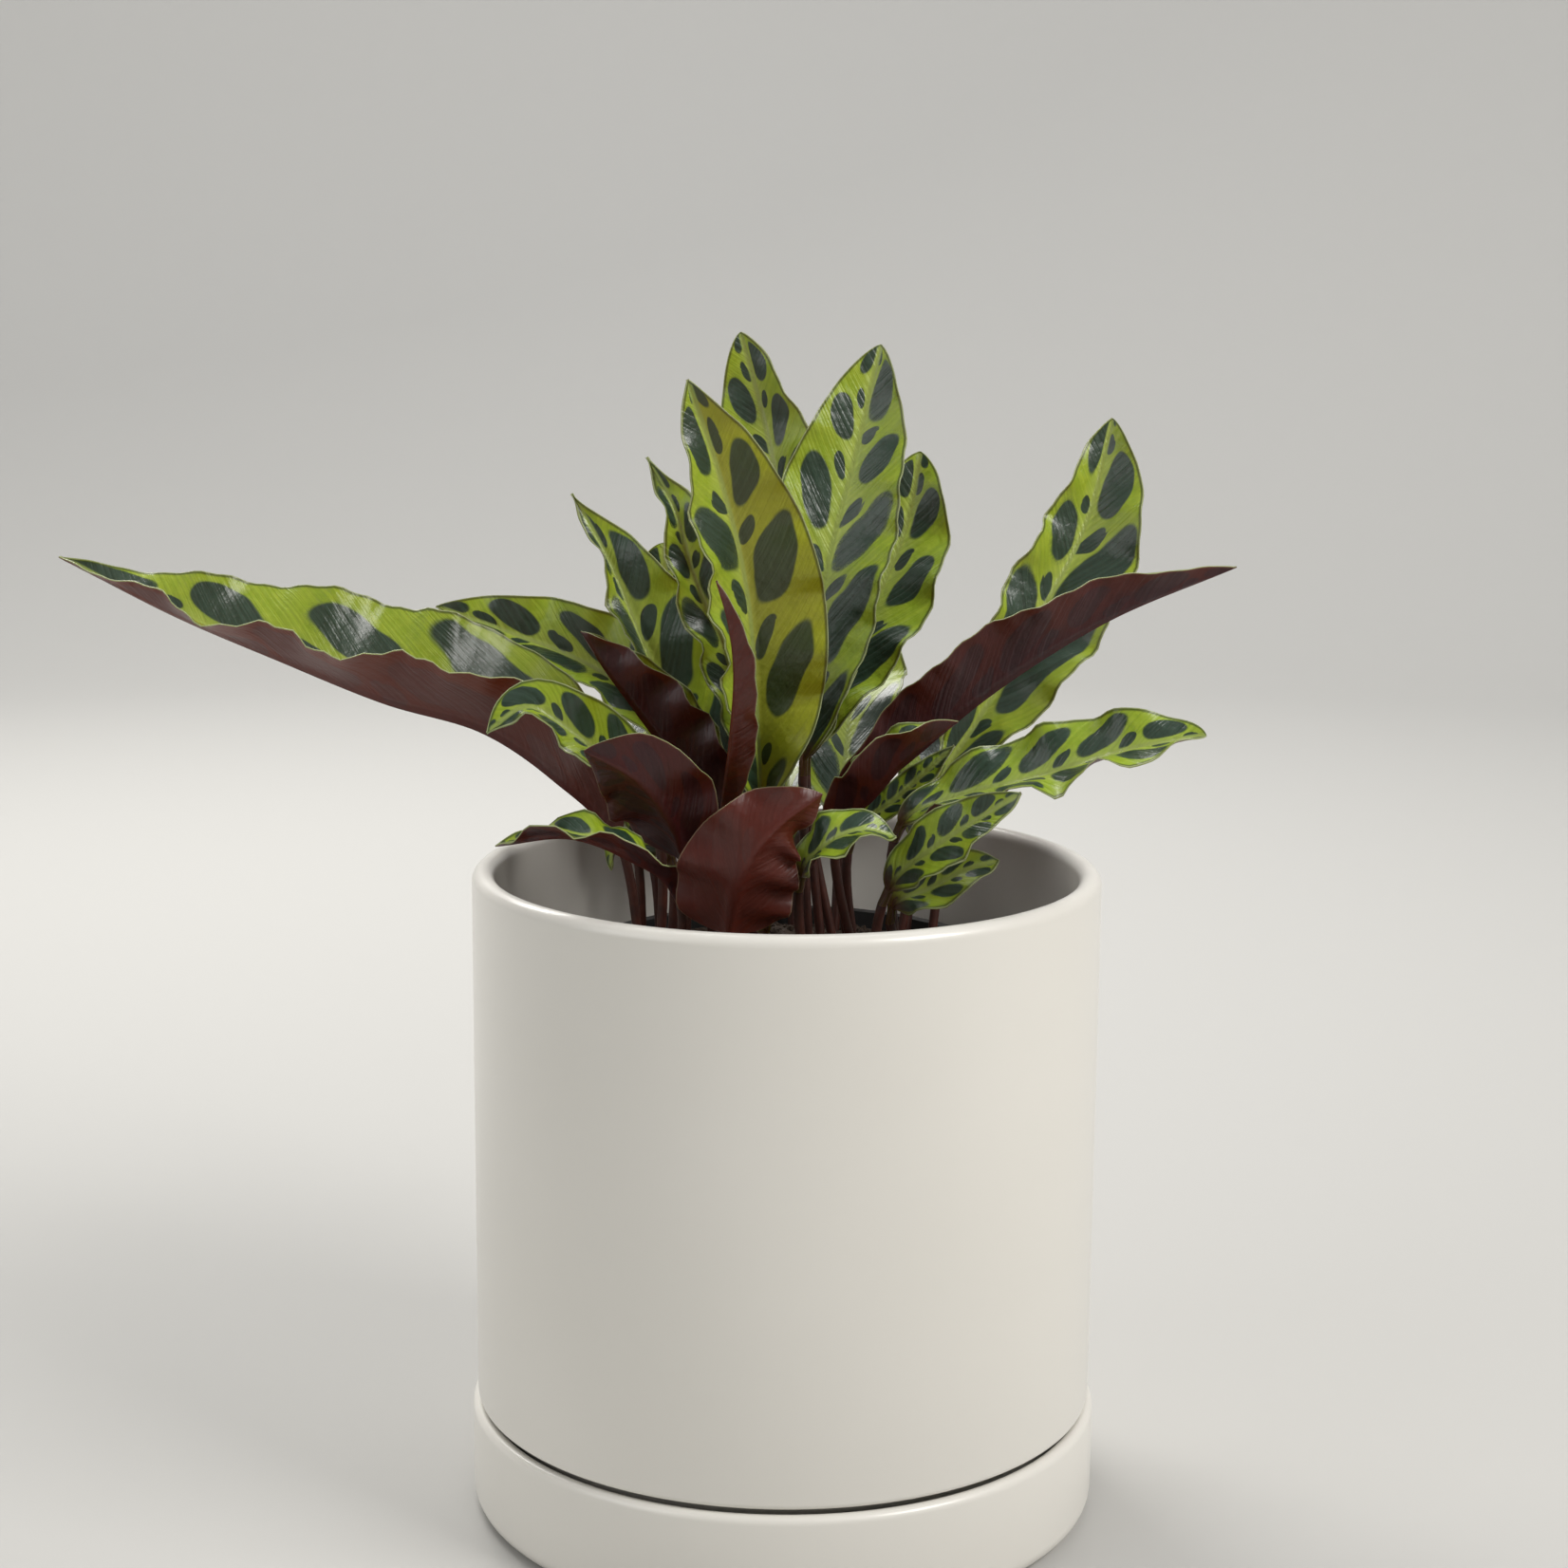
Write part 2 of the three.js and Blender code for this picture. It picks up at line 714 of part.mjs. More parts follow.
const FINISHES = {
  glaze: { color: 0xe9e7e1, roughness: 0.3, metalness: 0 },
  plastic: { color: 0x161616, roughness: 0.55, metalness: 0 },
  soil: { color: 0x2a1f17, roughness: 0.95, metalness: 0 },
  leaf: { color: 0x6f9a2e, roughness: 0.45, metalness: 0 },
}

const plant = new THREE.Group()

function add(name, geometry, finish) {
  const mesh = new THREE.Mesh(geometry, new THREE.MeshStandardMaterial(FINISHES[finish]))
  mesh.name = name
  plant.add(mesh)
}

add('saucer', saucerSolid(), 'glaze')
add('pot', potSolid(), 'glaze')
add('grower_pot', growerSolid(), 'plastic')
add('soil', soilSolid(LEAVES.map(stalkHole)), 'soil')
for (const leaf of LEAVES) add(leaf.name, leafSolid(leaf), 'leaf')

export default plant
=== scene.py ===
# %% [markdown]
# # A potted rattlesnake plant
#
# The frame that is loaded here holds the solids of the part: a saucer, a glazed pot, a black
# grower's pot, the soil and 34 leaves, each with its own stalk. This lesson dresses them. Every
# piece that shows, but the grower's pot, is worked out again on a finer grid, from the same formula
# as its solid, so that it keeps the solid's form and only gains smoothness, veins and colour.

import math

import bpy
import numpy as np
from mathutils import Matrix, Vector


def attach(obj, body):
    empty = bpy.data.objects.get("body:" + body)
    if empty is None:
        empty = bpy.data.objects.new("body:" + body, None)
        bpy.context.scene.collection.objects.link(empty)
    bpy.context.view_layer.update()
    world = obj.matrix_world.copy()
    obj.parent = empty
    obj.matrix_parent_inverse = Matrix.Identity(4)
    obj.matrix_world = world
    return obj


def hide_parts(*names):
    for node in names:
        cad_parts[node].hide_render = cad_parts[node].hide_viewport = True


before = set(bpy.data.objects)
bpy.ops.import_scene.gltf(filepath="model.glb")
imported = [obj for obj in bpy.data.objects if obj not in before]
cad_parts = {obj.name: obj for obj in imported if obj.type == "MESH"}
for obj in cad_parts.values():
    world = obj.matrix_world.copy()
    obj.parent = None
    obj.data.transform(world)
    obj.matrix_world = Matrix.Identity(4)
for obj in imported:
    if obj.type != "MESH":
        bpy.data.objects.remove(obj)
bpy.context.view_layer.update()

# %% [markdown]
# ## Millimetres and meshes
#
# Blender counts in metres, and a leaf is easier to think of in millimetres. So the shapes below are
# written in millimetres and are turned into metres when they go into a mesh. One function makes
# every mesh from arrays of points, and another says what each piece stands for.

# %% Lengths and a helper for every mesh
MM = 0.001
rng = np.random.default_rng(41)


def make_piece(name, points_mm, faces, materials, face_material=None, smooth=True, values=None):
    """A mesh object at the origin from points in millimetres and faces of three or four corners.

    values holds named numbers per point, which the materials read as attributes.
    """
    mesh = bpy.data.meshes.new(name)
    mesh.from_pydata((np.asarray(points_mm) * MM).tolist(), [], faces)
    for material in materials:
        mesh.materials.append(material)
    if face_material is not None:
        mesh.polygons.foreach_set("material_index", np.asarray(face_material, np.int32))
    mesh.polygons.foreach_set("use_smooth", np.full(len(mesh.polygons), smooth))
    for key, numbers in (values or {}).items():
        layer = mesh.attributes.new(key, "FLOAT", "POINT")
        layer.data.foreach_set("value", np.asarray(numbers, np.float32))
    mesh.update()
    piece = bpy.data.objects.new(name, mesh)
    bpy.context.scene.collection.objects.link(piece)
    return piece


def dress(piece, material_slot, *nodes):
    """The piece moves with the part and stands for the nodes named. material_slot is not used."""
    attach(piece, "root")
    if nodes:
        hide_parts(*nodes)
    triangles = sum(len(p.vertices) - 2 for p in piece.data.polygons)
    print(f"{piece.name}: {triangles} triangles")
    return piece


# %% [markdown]
# ## Shader maths as Python
#
# A pattern such as the ovals on these leaves is a formula. In the node editor a formula becomes a
# large web of Math nodes. A small class can wrap a socket instead, so that `a * b + 1` adds the Math
# nodes by itself. Colours go through Mix nodes, because a Math node would turn them grey.


# %% A socket that takes part in sums
class Shade:
    """A socket of a material, with Python's operators."""

    def __init__(self, finish, socket):
        self.finish = finish
        self.socket = socket

    def __add__(self, other):
        return self.finish.math("ADD", self, other)

    __radd__ = __add__

    def __sub__(self, other):
        return self.finish.math("SUBTRACT", self, other)

    def __rsub__(self, other):
        return self.finish.math("SUBTRACT", other, self)

    def __mul__(self, other):
        return self.finish.math("MULTIPLY", self, other)

    __rmul__ = __mul__

    def __truediv__(self, other):
        return self.finish.math("DIVIDE", self, other)

    def __abs__(self):
        return self.finish.math("ABSOLUTE", self)


class Finish:
    """A material and the one way to add nodes to it."""

    def __init__(self, name):
        self.material = bpy.data.materials.new(name)
        self.material.use_nodes = True
        self.tree = self.material.node_tree
        self.tree.nodes.clear()

    def node(self, kind, settings=None, **inputs):
        """Adds a node: its settings first, then the values or links of its sockets."""
        made = self.tree.nodes.new(kind)
        for key, value in (settings or {}).items():
            setattr(made, key, value)
        for key, value in inputs.items():
            self.feed(made, key.replace("_", " "), value)
        return made

    def feed(self, made, key, value):
        socket = made.inputs[int(key) if key.isdigit() else key]
        if isinstance(value, Shade):
            self.tree.links.new(value.socket, socket)
        else:
            socket.default_value = value

    def out(self, made, key=0):
        return Shade(self, made.outputs[key])

    def math(self, operation, *values):
        made = self.tree.nodes.new("ShaderNodeMath")
        made.operation = operation
        for place, value in enumerate(values):
            self.feed(made, str(place), value)
        return self.out(made)

    def value(self, name):
        """A number that the mesh carries for each of its points."""
        settings = {"attribute_name": name, "attribute_type": "GEOMETRY"}
        made = self.node("ShaderNodeAttribute", settings)
        return self.out(made, "Fac")

    def mix(self, share, first, second):
        """A colour between two colours."""
        made = self.tree.nodes.new("ShaderNodeMix")
        made.data_type = "RGBA"
        made.clamp_factor = True
        self.feed(made, "0", share)
        self.feed(made, "6", first)
        self.feed(made, "7", second)
        return self.out(made, 2)

    def step(self, value, start, end):
        """0 where the value is at start, 1 where it is at end, with a soft change between them."""
        made = self.node("ShaderNodeMapRange", {"interpolation_type": "SMOOTHSTEP"})
        for key, number in (("Value", value), ("From Min", start), ("From Max", end)):
            self.feed(made, key, number)
        return self.out(made)

    def noise(self, place, scale, detail=2.0, rough=0.5):
        """Cloudy noise, about 0.5 on average."""
        made = self.node("ShaderNodeTexNoise", Vector=place, Scale=scale, Detail=detail,
                         Roughness=rough)
        return self.out(made, "Fac")

    def vector(self, x, y, z=0.0):
        return self.out(self.node("ShaderNodeCombineXYZ", X=x, Y=y, Z=z))

    def position(self):
        return self.out(self.node("ShaderNodeTexCoord"), "Object")

    def bump(self, height, distance, strength=1.0):
        """A normal that follows small relief. The distance is in metres."""
        made = self.node("ShaderNodeBump", Distance=distance, Strength=strength)
        self.feed(made, "Height", height)
        return self.out(made, "Normal")

    def surface(self, **inputs):
        """The main shader. A name such as Base_Color is the socket Base Color."""
        return self.node("ShaderNodeBsdfPrincipled", **inputs)

    def end(self, shader):
        last = self.tree.nodes.new("ShaderNodeOutputMaterial")
        self.tree.links.new(shader.outputs[0], last.inputs["Surface"])
        return self.material


def colour(red, green, blue):
    """A colour as seen on a screen, 0 to 255, in the linear numbers that light adds up in."""
    seen = np.array([red, green, blue]) / 255
    linear = np.where(seen <= 0.04045, seen / 12.92, ((seen + 0.055) / 1.055) ** 2.4)
    return (*linear.tolist(), 1.0)


print("lime green in linear numbers:", [round(v, 3) for v in colour(150, 180, 60)])

# %% [markdown]
# ## Camera
#
# The picture looks slightly down at the plant. The camera's place, tilt, roll and lens come from a
# least-squares fit to points read on the edges of the rim, the pot and the saucer. It is set
# from these numbers alone, without aiming at an object, so that it stays put when the plant changes.
# A place on the picture and a depth give a point in space, on the ray through that place.

# %% The camera of the picture
PICTURE_SIDE = 1652  # pixels
FOCAL_PIXELS = 2843.8
SENSOR = 36  # millimetres
CAMERA_PLACE = (-0.0011, -0.84342, 0.38784)
CAMERA_TILT = 0.1786  # radians below the horizon
CAMERA_ROLL = 0.0076
camera = bpy.data.objects.new("picture_camera", bpy.data.cameras.new("picture_camera"))
camera.location = CAMERA_PLACE
camera.rotation_euler = (math.pi / 2 - CAMERA_TILT, 0, 0)
camera.rotation_euler.rotate_axis("Z", CAMERA_ROLL)
camera.data.sensor_width = SENSOR
camera.data.lens = SENSOR * FOCAL_PIXELS / PICTURE_SIDE
camera.data.clip_start = 0.02
bpy.context.scene.collection.objects.link(camera)
bpy.context.scene.camera = camera
print("lens:", round(camera.data.lens, 2), "mm")


def from_picture(across, down, depth):
    """The point seen at a place on the picture, in pixels from its upper left corner, and depth
    millimetres behind the pots' axis. It is in millimetres, rounded to whole ones."""
    right = (across - PICTURE_SIDE / 2) / FOCAL_PIXELS
    below = (down - PICTURE_SIDE / 2) / FOCAL_PIXELS
    cos_roll, sin_roll = math.cos(CAMERA_ROLL), math.sin(CAMERA_ROLL)
    cos_tilt, sin_tilt = math.cos(CAMERA_TILT), math.sin(CAMERA_TILT)
    sideways = right * cos_roll + below * sin_roll
    upwards = right * sin_roll - below * cos_roll
    ray = np.array([sideways, cos_tilt + upwards * sin_tilt, upwards * cos_tilt - sin_tilt])
    start = 1000 * np.array(CAMERA_PLACE)
    return np.round(start + ray * (depth - start[1]) / ray[1])


# %% [markdown]
# ## Studio
#
# A plant with glossy leaves needs something soft to reflect. The stage is a wide pale dish: a flat
# floor that curves up into a wall all round, so that no line of a horizon crosses the picture from
# any side. Three large area lights stand round the plant, and a fourth brightens the far wall. The
# one behind the plant is as important as the one in front, because a leaf shows its greenest colour
# when light comes through it. The Standard view keeps the greens as fresh as they were mixed.


# %% The stage and its lights
def dish(floor_radius, bend, wall_top, steps=96):
    """Floor, quarter bend and wall: one profile turned about the vertical axis.

    On the bend the radius is floor_radius + bend·sin a and the height is bend·(1 - cos a).
    """
    turn = np.linspace(0, np.pi / 2, 13)
    radius = np.r_[0.001, floor_radius, floor_radius + bend * np.sin(turn[1:]), floor_radius + bend]
    height = np.r_[0, 0, bend * (1 - np.cos(turn[1:])), wall_top]
    angle = np.linspace(0, 2 * np.pi, steps, endpoint=False)
    x = radius[:, None] * np.cos(angle)
    y = radius[:, None] * np.sin(angle)
    z = np.broadcast_to(height[:, None], x.shape)
    rows, columns = np.meshgrid(np.arange(len(radius) - 1), np.arange(steps), indexing="ij")
    after = (columns + 1) % steps
    quads = np.stack([rows * steps + columns, rows * steps + after,
                      (rows + 1) * steps + after, (rows + 1) * steps + columns], -1).reshape(-1, 4)
    return np.stack([x, y, z], -1).reshape(-1, 3), quads[:, ::-1].tolist()


paper = Finish("backdrop_paper")
backdrop_paper = paper.end(paper.surface(Base_Color=colour(188, 187, 184), Roughness=0.9))
points, faces = dish(1900, 900, 2600)
stage = make_piece("backdrop", points, faces, [backdrop_paper])

world = bpy.data.worlds.new("soft_room")
world.use_nodes = True
world.node_tree.nodes["Background"].inputs["Color"].default_value = (0.97, 0.98, 1.0, 1)
world.node_tree.nodes["Background"].inputs["Strength"].default_value = 0.42
bpy.context.scene.world = world
bpy.context.scene.view_settings.view_transform = "Standard"


def soft_light(name, place, size, watts, tint=(1, 1, 1), target=(0, 0, 0.22)):
    """A square area light that faces the middle of the plant, or another place."""
    light = bpy.data.objects.new(name, bpy.data.lights.new(name, "AREA"))
    light.data.size = size
    light.data.energy = watts
    light.data.color = tint
    light.location = place
    aim = Vector(target) - light.location
    light.rotation_euler = aim.to_track_quat("-Z", "Y").to_euler()
    bpy.context.scene.collection.objects.link(light)


soft_light("window_right", (1.1, -0.7, 1.3), 0.7, 20, (1.0, 0.98, 0.95))
soft_light("window_behind", (-0.7, 1.1, 1.5), 0.9, 22, (1.0, 0.98, 0.94))
soft_light("window_left", (-1.3, -0.8, 0.9), 1.0, 5, (0.98, 0.99, 1.0))
soft_light("wall_wash", (0, 0.9, 2.4), 1.2, 36, (1, 1, 1), (0, 2.8, 1.2))

# %% [markdown]
# ## Glazed pot and saucer
#
# Both were turned on a wheel or cast in a round mould, so each is one profile turned about the
# vertical axis. The Screw modifier does that too, but a formula keeps the profile's numbers next to
# the shape. The profile goes round the whole wall, outside and inside, so the surface closes.


# %% Arcs, and shapes turned from a profile
def quarter(radius, height, bend, start, end, steps=8):
    """Points on an arc of the profile: radius + bend·cos, height + bend·sin, in degrees."""
    turn = np.radians(np.linspace(start, end, steps + 1))
    return np.stack([radius + bend * np.cos(turn), height + bend * np.sin(turn)], 1)


def turned(profile, steps=192):
    """Points and faces of a profile of (radius, height), turned about the vertical axis.

    Point = (radius·cos a, radius·sin a, height) for each angle a. A profile that starts and ends on
    the axis closes there with a fan, and any other profile closes on itself.
    """
    profile = np.asarray(profile, float)
    to_axis = profile[0, 0] < 1e-6
    rim = profile[1:-1] if to_axis else profile
    angle = np.linspace(0, 2 * np.pi, steps, endpoint=False)
    grid = np.stack([rim[:, :1] * np.cos(angle), rim[:, :1] * np.sin(angle),
                     np.broadcast_to(rim[:, 1:], (len(rim), steps))], -1)
    row_count = len(rim) - 1 if to_axis else len(rim)
    row, column = np.meshgrid(np.arange(row_count), np.arange(steps), indexing="ij")
    after = (column + 1) % steps
    below = (row + 1) % len(rim)
    quads = np.stack([row * steps + column, row * steps + after,
                      below * steps + after, below * steps + column], -1).reshape(-1, 4).tolist()
    points = grid.reshape(-1, 3)
    if to_axis:
        first, last = len(points), len(points) + 1
        points = np.vstack([points, [0, 0, profile[0, 1]], [0, 0, profile[-1, 1]]])
        ring = np.arange(steps)
        following = (ring + 1) % steps
        end = (len(rim) - 1) * steps
        quads += np.stack([np.full(steps, first), following, ring], 1).tolist()
        quads += np.stack([np.full(steps, last), end + ring, end + following], 1).tolist()
    return points, quads


# %% [markdown]
# ## Two profiles
#
# The saucer's profile starts and ends on the axis, so it is a closed disc with a wall. The pot's
# profile goes from the drainage hole along its foot, up the outside, over the lip and down inside.
# The wall overhangs the foot, and that leaves the thin dark line above the saucer.

# %% Profiles of saucer and pot, in millimetres
SAUCER_RADIUS, SAUCER_TOP, SAUCER_WALL, SAUCER_FLOOR = 101.6, 34.5, 5.0, 6.0
POT_RADIUS, POT_TOP, POT_WALL = 100.0, 209.5, 7.2
POT_BOTTOM, POT_FLOOR, SHOULDER, FOOT_RADIUS, DRAIN = 6.3, 15.3, 36.0, 95.0, 8.0
lip = SAUCER_WALL / 2
saucer_profile = np.vstack([
    [[0, 0], [SAUCER_RADIUS - 7, 0]],
    quarter(SAUCER_RADIUS - 6, 6, 6, -88, 0),
    quarter(SAUCER_RADIUS - lip, SAUCER_TOP - lip, lip, 0, 180, 14),
    quarter(SAUCER_RADIUS - SAUCER_WALL - 1.2, SAUCER_FLOOR + 1.2, 1.2, 0, -90, 4),
    [[0, SAUCER_FLOOR]],
])
lip = POT_WALL / 2
pot_profile = np.vstack([
    [[DRAIN, POT_BOTTOM], [FOOT_RADIUS - 1, POT_BOTTOM], [FOOT_RADIUS, POT_BOTTOM + 1],
     [FOOT_RADIUS, SHOULDER], [POT_RADIUS - 2.4, SHOULDER]],
    quarter(POT_RADIUS - 2, SHOULDER + 2, 2, -80, 0, 6),
    quarter(POT_RADIUS - lip, POT_TOP - lip, lip, 0, 180, 14),
    quarter(POT_RADIUS - POT_WALL - 6, POT_FLOOR + 6, 6, 0, -90, 6),
    [[DRAIN, POT_FLOOR]],
])
print("profile points:", len(saucer_profile), "and", len(pot_profile))

# %% [markdown]
# ## White glaze
#
# The glaze is a warm off-white with a soft gloss. It is glass over clay, so a Principled shader with
# a thin coat fits. A real glaze is never quite even: its thickness changes a little, which shows as
# slow changes of gloss. One cloud of noise does that, with a change of colour too small to read as
# dirt.

# %% Glaze, pot and saucer
glaze = Finish("white_glaze")
place = glaze.position()
cloud = glaze.noise(place, 14.0, 1.0)
white_glaze = glaze.end(glaze.surface(
    Base_Color=glaze.mix(cloud, colour(230, 227, 219), colour(236, 233, 226)),
    Roughness=0.27 + 0.12 * cloud,
    Coat_Weight=0.25,
    Coat_Roughness=0.12,
    IOR=1.5,
    Normal=glaze.bump(cloud, 0.0004, 0.35),
))
points, faces = turned(saucer_profile)
dress(make_piece("glazed_saucer", points, faces, [white_glaze]), "white_glaze", "saucer")
points, faces = turned(pot_profile)
dress(make_piece("glazed_pot", points, faces, [white_glaze]), "white_glaze", "pot")

# %% [markdown]
# ## Grower's pot
#
# Nurseries pot this plant in thin black plastic, and the white pot only dresses it. It stays in the
# dark between the stalks. The solid in the frame already has its drainage holes and its rim, so its
# own mesh is kept and only gets a dull moulded black.

# %% Black plastic
plastic = Finish("black_plastic")
scuffs = plastic.noise(plastic.position(), 60.0, 4.0)
black_plastic = plastic.end(plastic.surface(
    Base_Color=plastic.mix(scuffs, colour(22, 22, 22), colour(38, 37, 36)),
    Roughness=0.5 + 0.2 * scuffs,
))
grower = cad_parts["grower_pot"]
grower.data.materials.clear()
grower.data.materials.append(black_plastic)
print("grower's pot:", len(grower.data.polygons), "faces of its own")

# %% [markdown]
# ## Soil
#
# Potting mix is bark, peat and coir. Two things make it look loose: a surface that rises and falls
# by a millimetre, and separate crumbs that lie on it. The surface is a disc of rings whose height is
# the heap of the solid plus a sum of waves in random directions. The crumbs are one mesh: a solid of
# twenty faces, repeated with its own size, turn and place for each crumb.


# %% The heap's height
SOIL_EDGE, SOIL_MOUND, SOIL_BOTTOM = 176.0, 4.0, 17.5
GROWER_BASE, GROWER_RIM, GROWER_WALL, GROWER_TOP, GROWER_BOTTOM = 52.0, 65.0, 1.6, 181.0, 15.6


def soil_radius(height):
    """The inside of the tapered grower's pot at a height, less a narrow gap."""
    share = (height - GROWER_BOTTOM) / (GROWER_TOP - GROWER_BOTTOM)
    return GROWER_BASE + (GROWER_RIM - GROWER_BASE) * share - GROWER_WALL - 0.6


WAVES = 90
directions = rng.normal(size=(WAVES, 2))
directions /= np.linalg.norm(directions, axis=1, keepdims=True)
lengths = rng.uniform(1.6, 11.0, WAVES)
phases = rng.uniform(0, 2 * np.pi, WAVES)


def lumps(x, y):
    """Rough ground: a sum of waves, each in its own direction and as high as its length allows."""
    along = x[..., None] * directions[:, 0] + y[..., None] * directions[:, 1]
    waves = np.sin(2 * np.pi * along / lengths + phases) * lengths
    return waves.sum(-1) / np.sqrt((lengths**2).sum())


def soil_height(x, y):
    """The solid's heap, with lumps that fade out at the pot's wall."""
    share = np.clip(np.hypot(x, y) / soil_radius(SOIL_EDGE), 0, 1)
    return SOIL_EDGE + SOIL_MOUND * (1 - share**2) + 0.55 * lumps(x, y) * (1 - share**6) - 0.4


# %% The heap as a mesh
ROUND = 180
top_radius = np.linspace(soil_radius(SOIL_EDGE), 0, 60)[:-1]
angle = np.linspace(0, 2 * np.pi, ROUND, endpoint=False)
x = top_radius[:, None] * np.cos(angle)
y = top_radius[:, None] * np.sin(angle)
top = np.stack([x, y, soil_height(x, y)], -1)
low_radius = soil_radius(SOIL_BOTTOM)
bottom_ring = np.stack([low_radius * np.cos(angle), low_radius * np.sin(angle),
                        np.full(ROUND, SOIL_BOTTOM)], -1)
rings = np.concatenate([bottom_ring[None], top])
row, column = np.meshgrid(np.arange(len(rings) - 1), np.arange(ROUND), indexing="ij")
after = (column + 1) % ROUND
faces = np.stack([row * ROUND + column, row * ROUND + after, (row + 1) * ROUND + after,
                  (row + 1) * ROUND + column], -1).reshape(-1, 4).tolist()
middle_height = soil_height(np.zeros(1), np.zeros(1))[0]
points = np.vstack([rings.reshape(-1, 3), [[0, 0, SOIL_BOTTOM], [0, 0, middle_height]]])
ring = np.arange(ROUND)
following = (ring + 1) % ROUND
faces += np.stack([np.full(ROUND, len(points) - 2), following, ring], 1).tolist()
last = (len(rings) - 1) * ROUND
faces += np.stack([np.full(ROUND, len(points) - 1), last + ring, last + following], 1).tolist()
print("heap:", round(middle_height, 1), "mm high in the middle")

# %% [markdown]
# ## The look of the soil
#
# Peat is nearly black and bark is brown. Fine noise mixes the two, and coarser noise makes some
# patches of the heap lighter than others. It is rough all over, with no gloss at all.

# %% Soil finish
earth = Finish("potting_soil")
place = earth.position()
fine = earth.noise(place, 700.0, 5.0, 0.7)
patch = earth.noise(place, 90.0, 3.0)
potting_soil = earth.end(earth.surface(
    Base_Color=earth.mix(patch, earth.mix(fine, colour(24, 17, 12), colour(58, 43, 31)),
                         earth.mix(fine, colour(34, 25, 18), colour(84, 63, 45))),
    Roughness=0.92,
    Normal=earth.bump(fine + patch, 0.0012, 0.8),
))
dress(make_piece("soil_heap", points, faces, [potting_soil]), "potting_soil", "soil")

# %% Loose crumbs
golden = (1 + 5**0.5) / 2
twenty = np.array([(-1, golden, 0), (1, golden, 0), (-1, -golden, 0), (1, -golden, 0),
                   (0, -1, golden), (0, 1, golden), (0, -1, -golden), (0, 1, -golden),
                   (golden, 0, -1), (golden, 0, 1), (-golden, 0, -1), (-golden, 0, 1)]) / 1.9
corners = np.array([(0, 11, 5), (0, 5, 1), (0, 1, 7), (0, 7, 10), (0, 10, 11),
                    (1, 5, 9), (5, 11, 4), (11, 10, 2), (10, 7, 6), (7, 1, 8),
                    (3, 9, 4), (3, 4, 2), (3, 2, 6), (3, 6, 8), (3, 8, 9),
                    (4, 9, 5), (2, 4, 11), (6, 2, 10), (8, 6, 7), (9, 8, 1)])
CRUMBS = 900
turns = np.linalg.qr(rng.normal(size=(CRUMBS, 3, 3)))[0]
turns[:, :, 0] *= np.sign(np.linalg.det(turns))[:, None]
sizes = rng.uniform(0.35, 1.5, (CRUMBS, 1)) ** 1.5 * rng.uniform(0.6, 1.4, (CRUMBS, 3))
rough = twenty * rng.uniform(0.75, 1.2, (CRUMBS, 12, 1))
lumpy = np.einsum("nij,nkj->nki", turns, rough * sizes[:, None])
far = soil_radius(SOIL_EDGE) * 0.96 * np.sqrt(rng.uniform(0, 1, CRUMBS))
way = rng.uniform(0, 2 * np.pi, CRUMBS)
x, y = far * np.cos(way), far * np.sin(way)
centres = np.stack([x, y, soil_height(x, y) + 0.1], -1)
points = (lumpy + centres[:, None]).reshape(-1, 3)
faces = (corners + 12 * np.arange(CRUMBS)[:, None, None]).reshape(-1, 3).tolist()
dress(make_piece("soil_crumbs", points, faces, [potting_soil], smooth=False), "potting_soil")
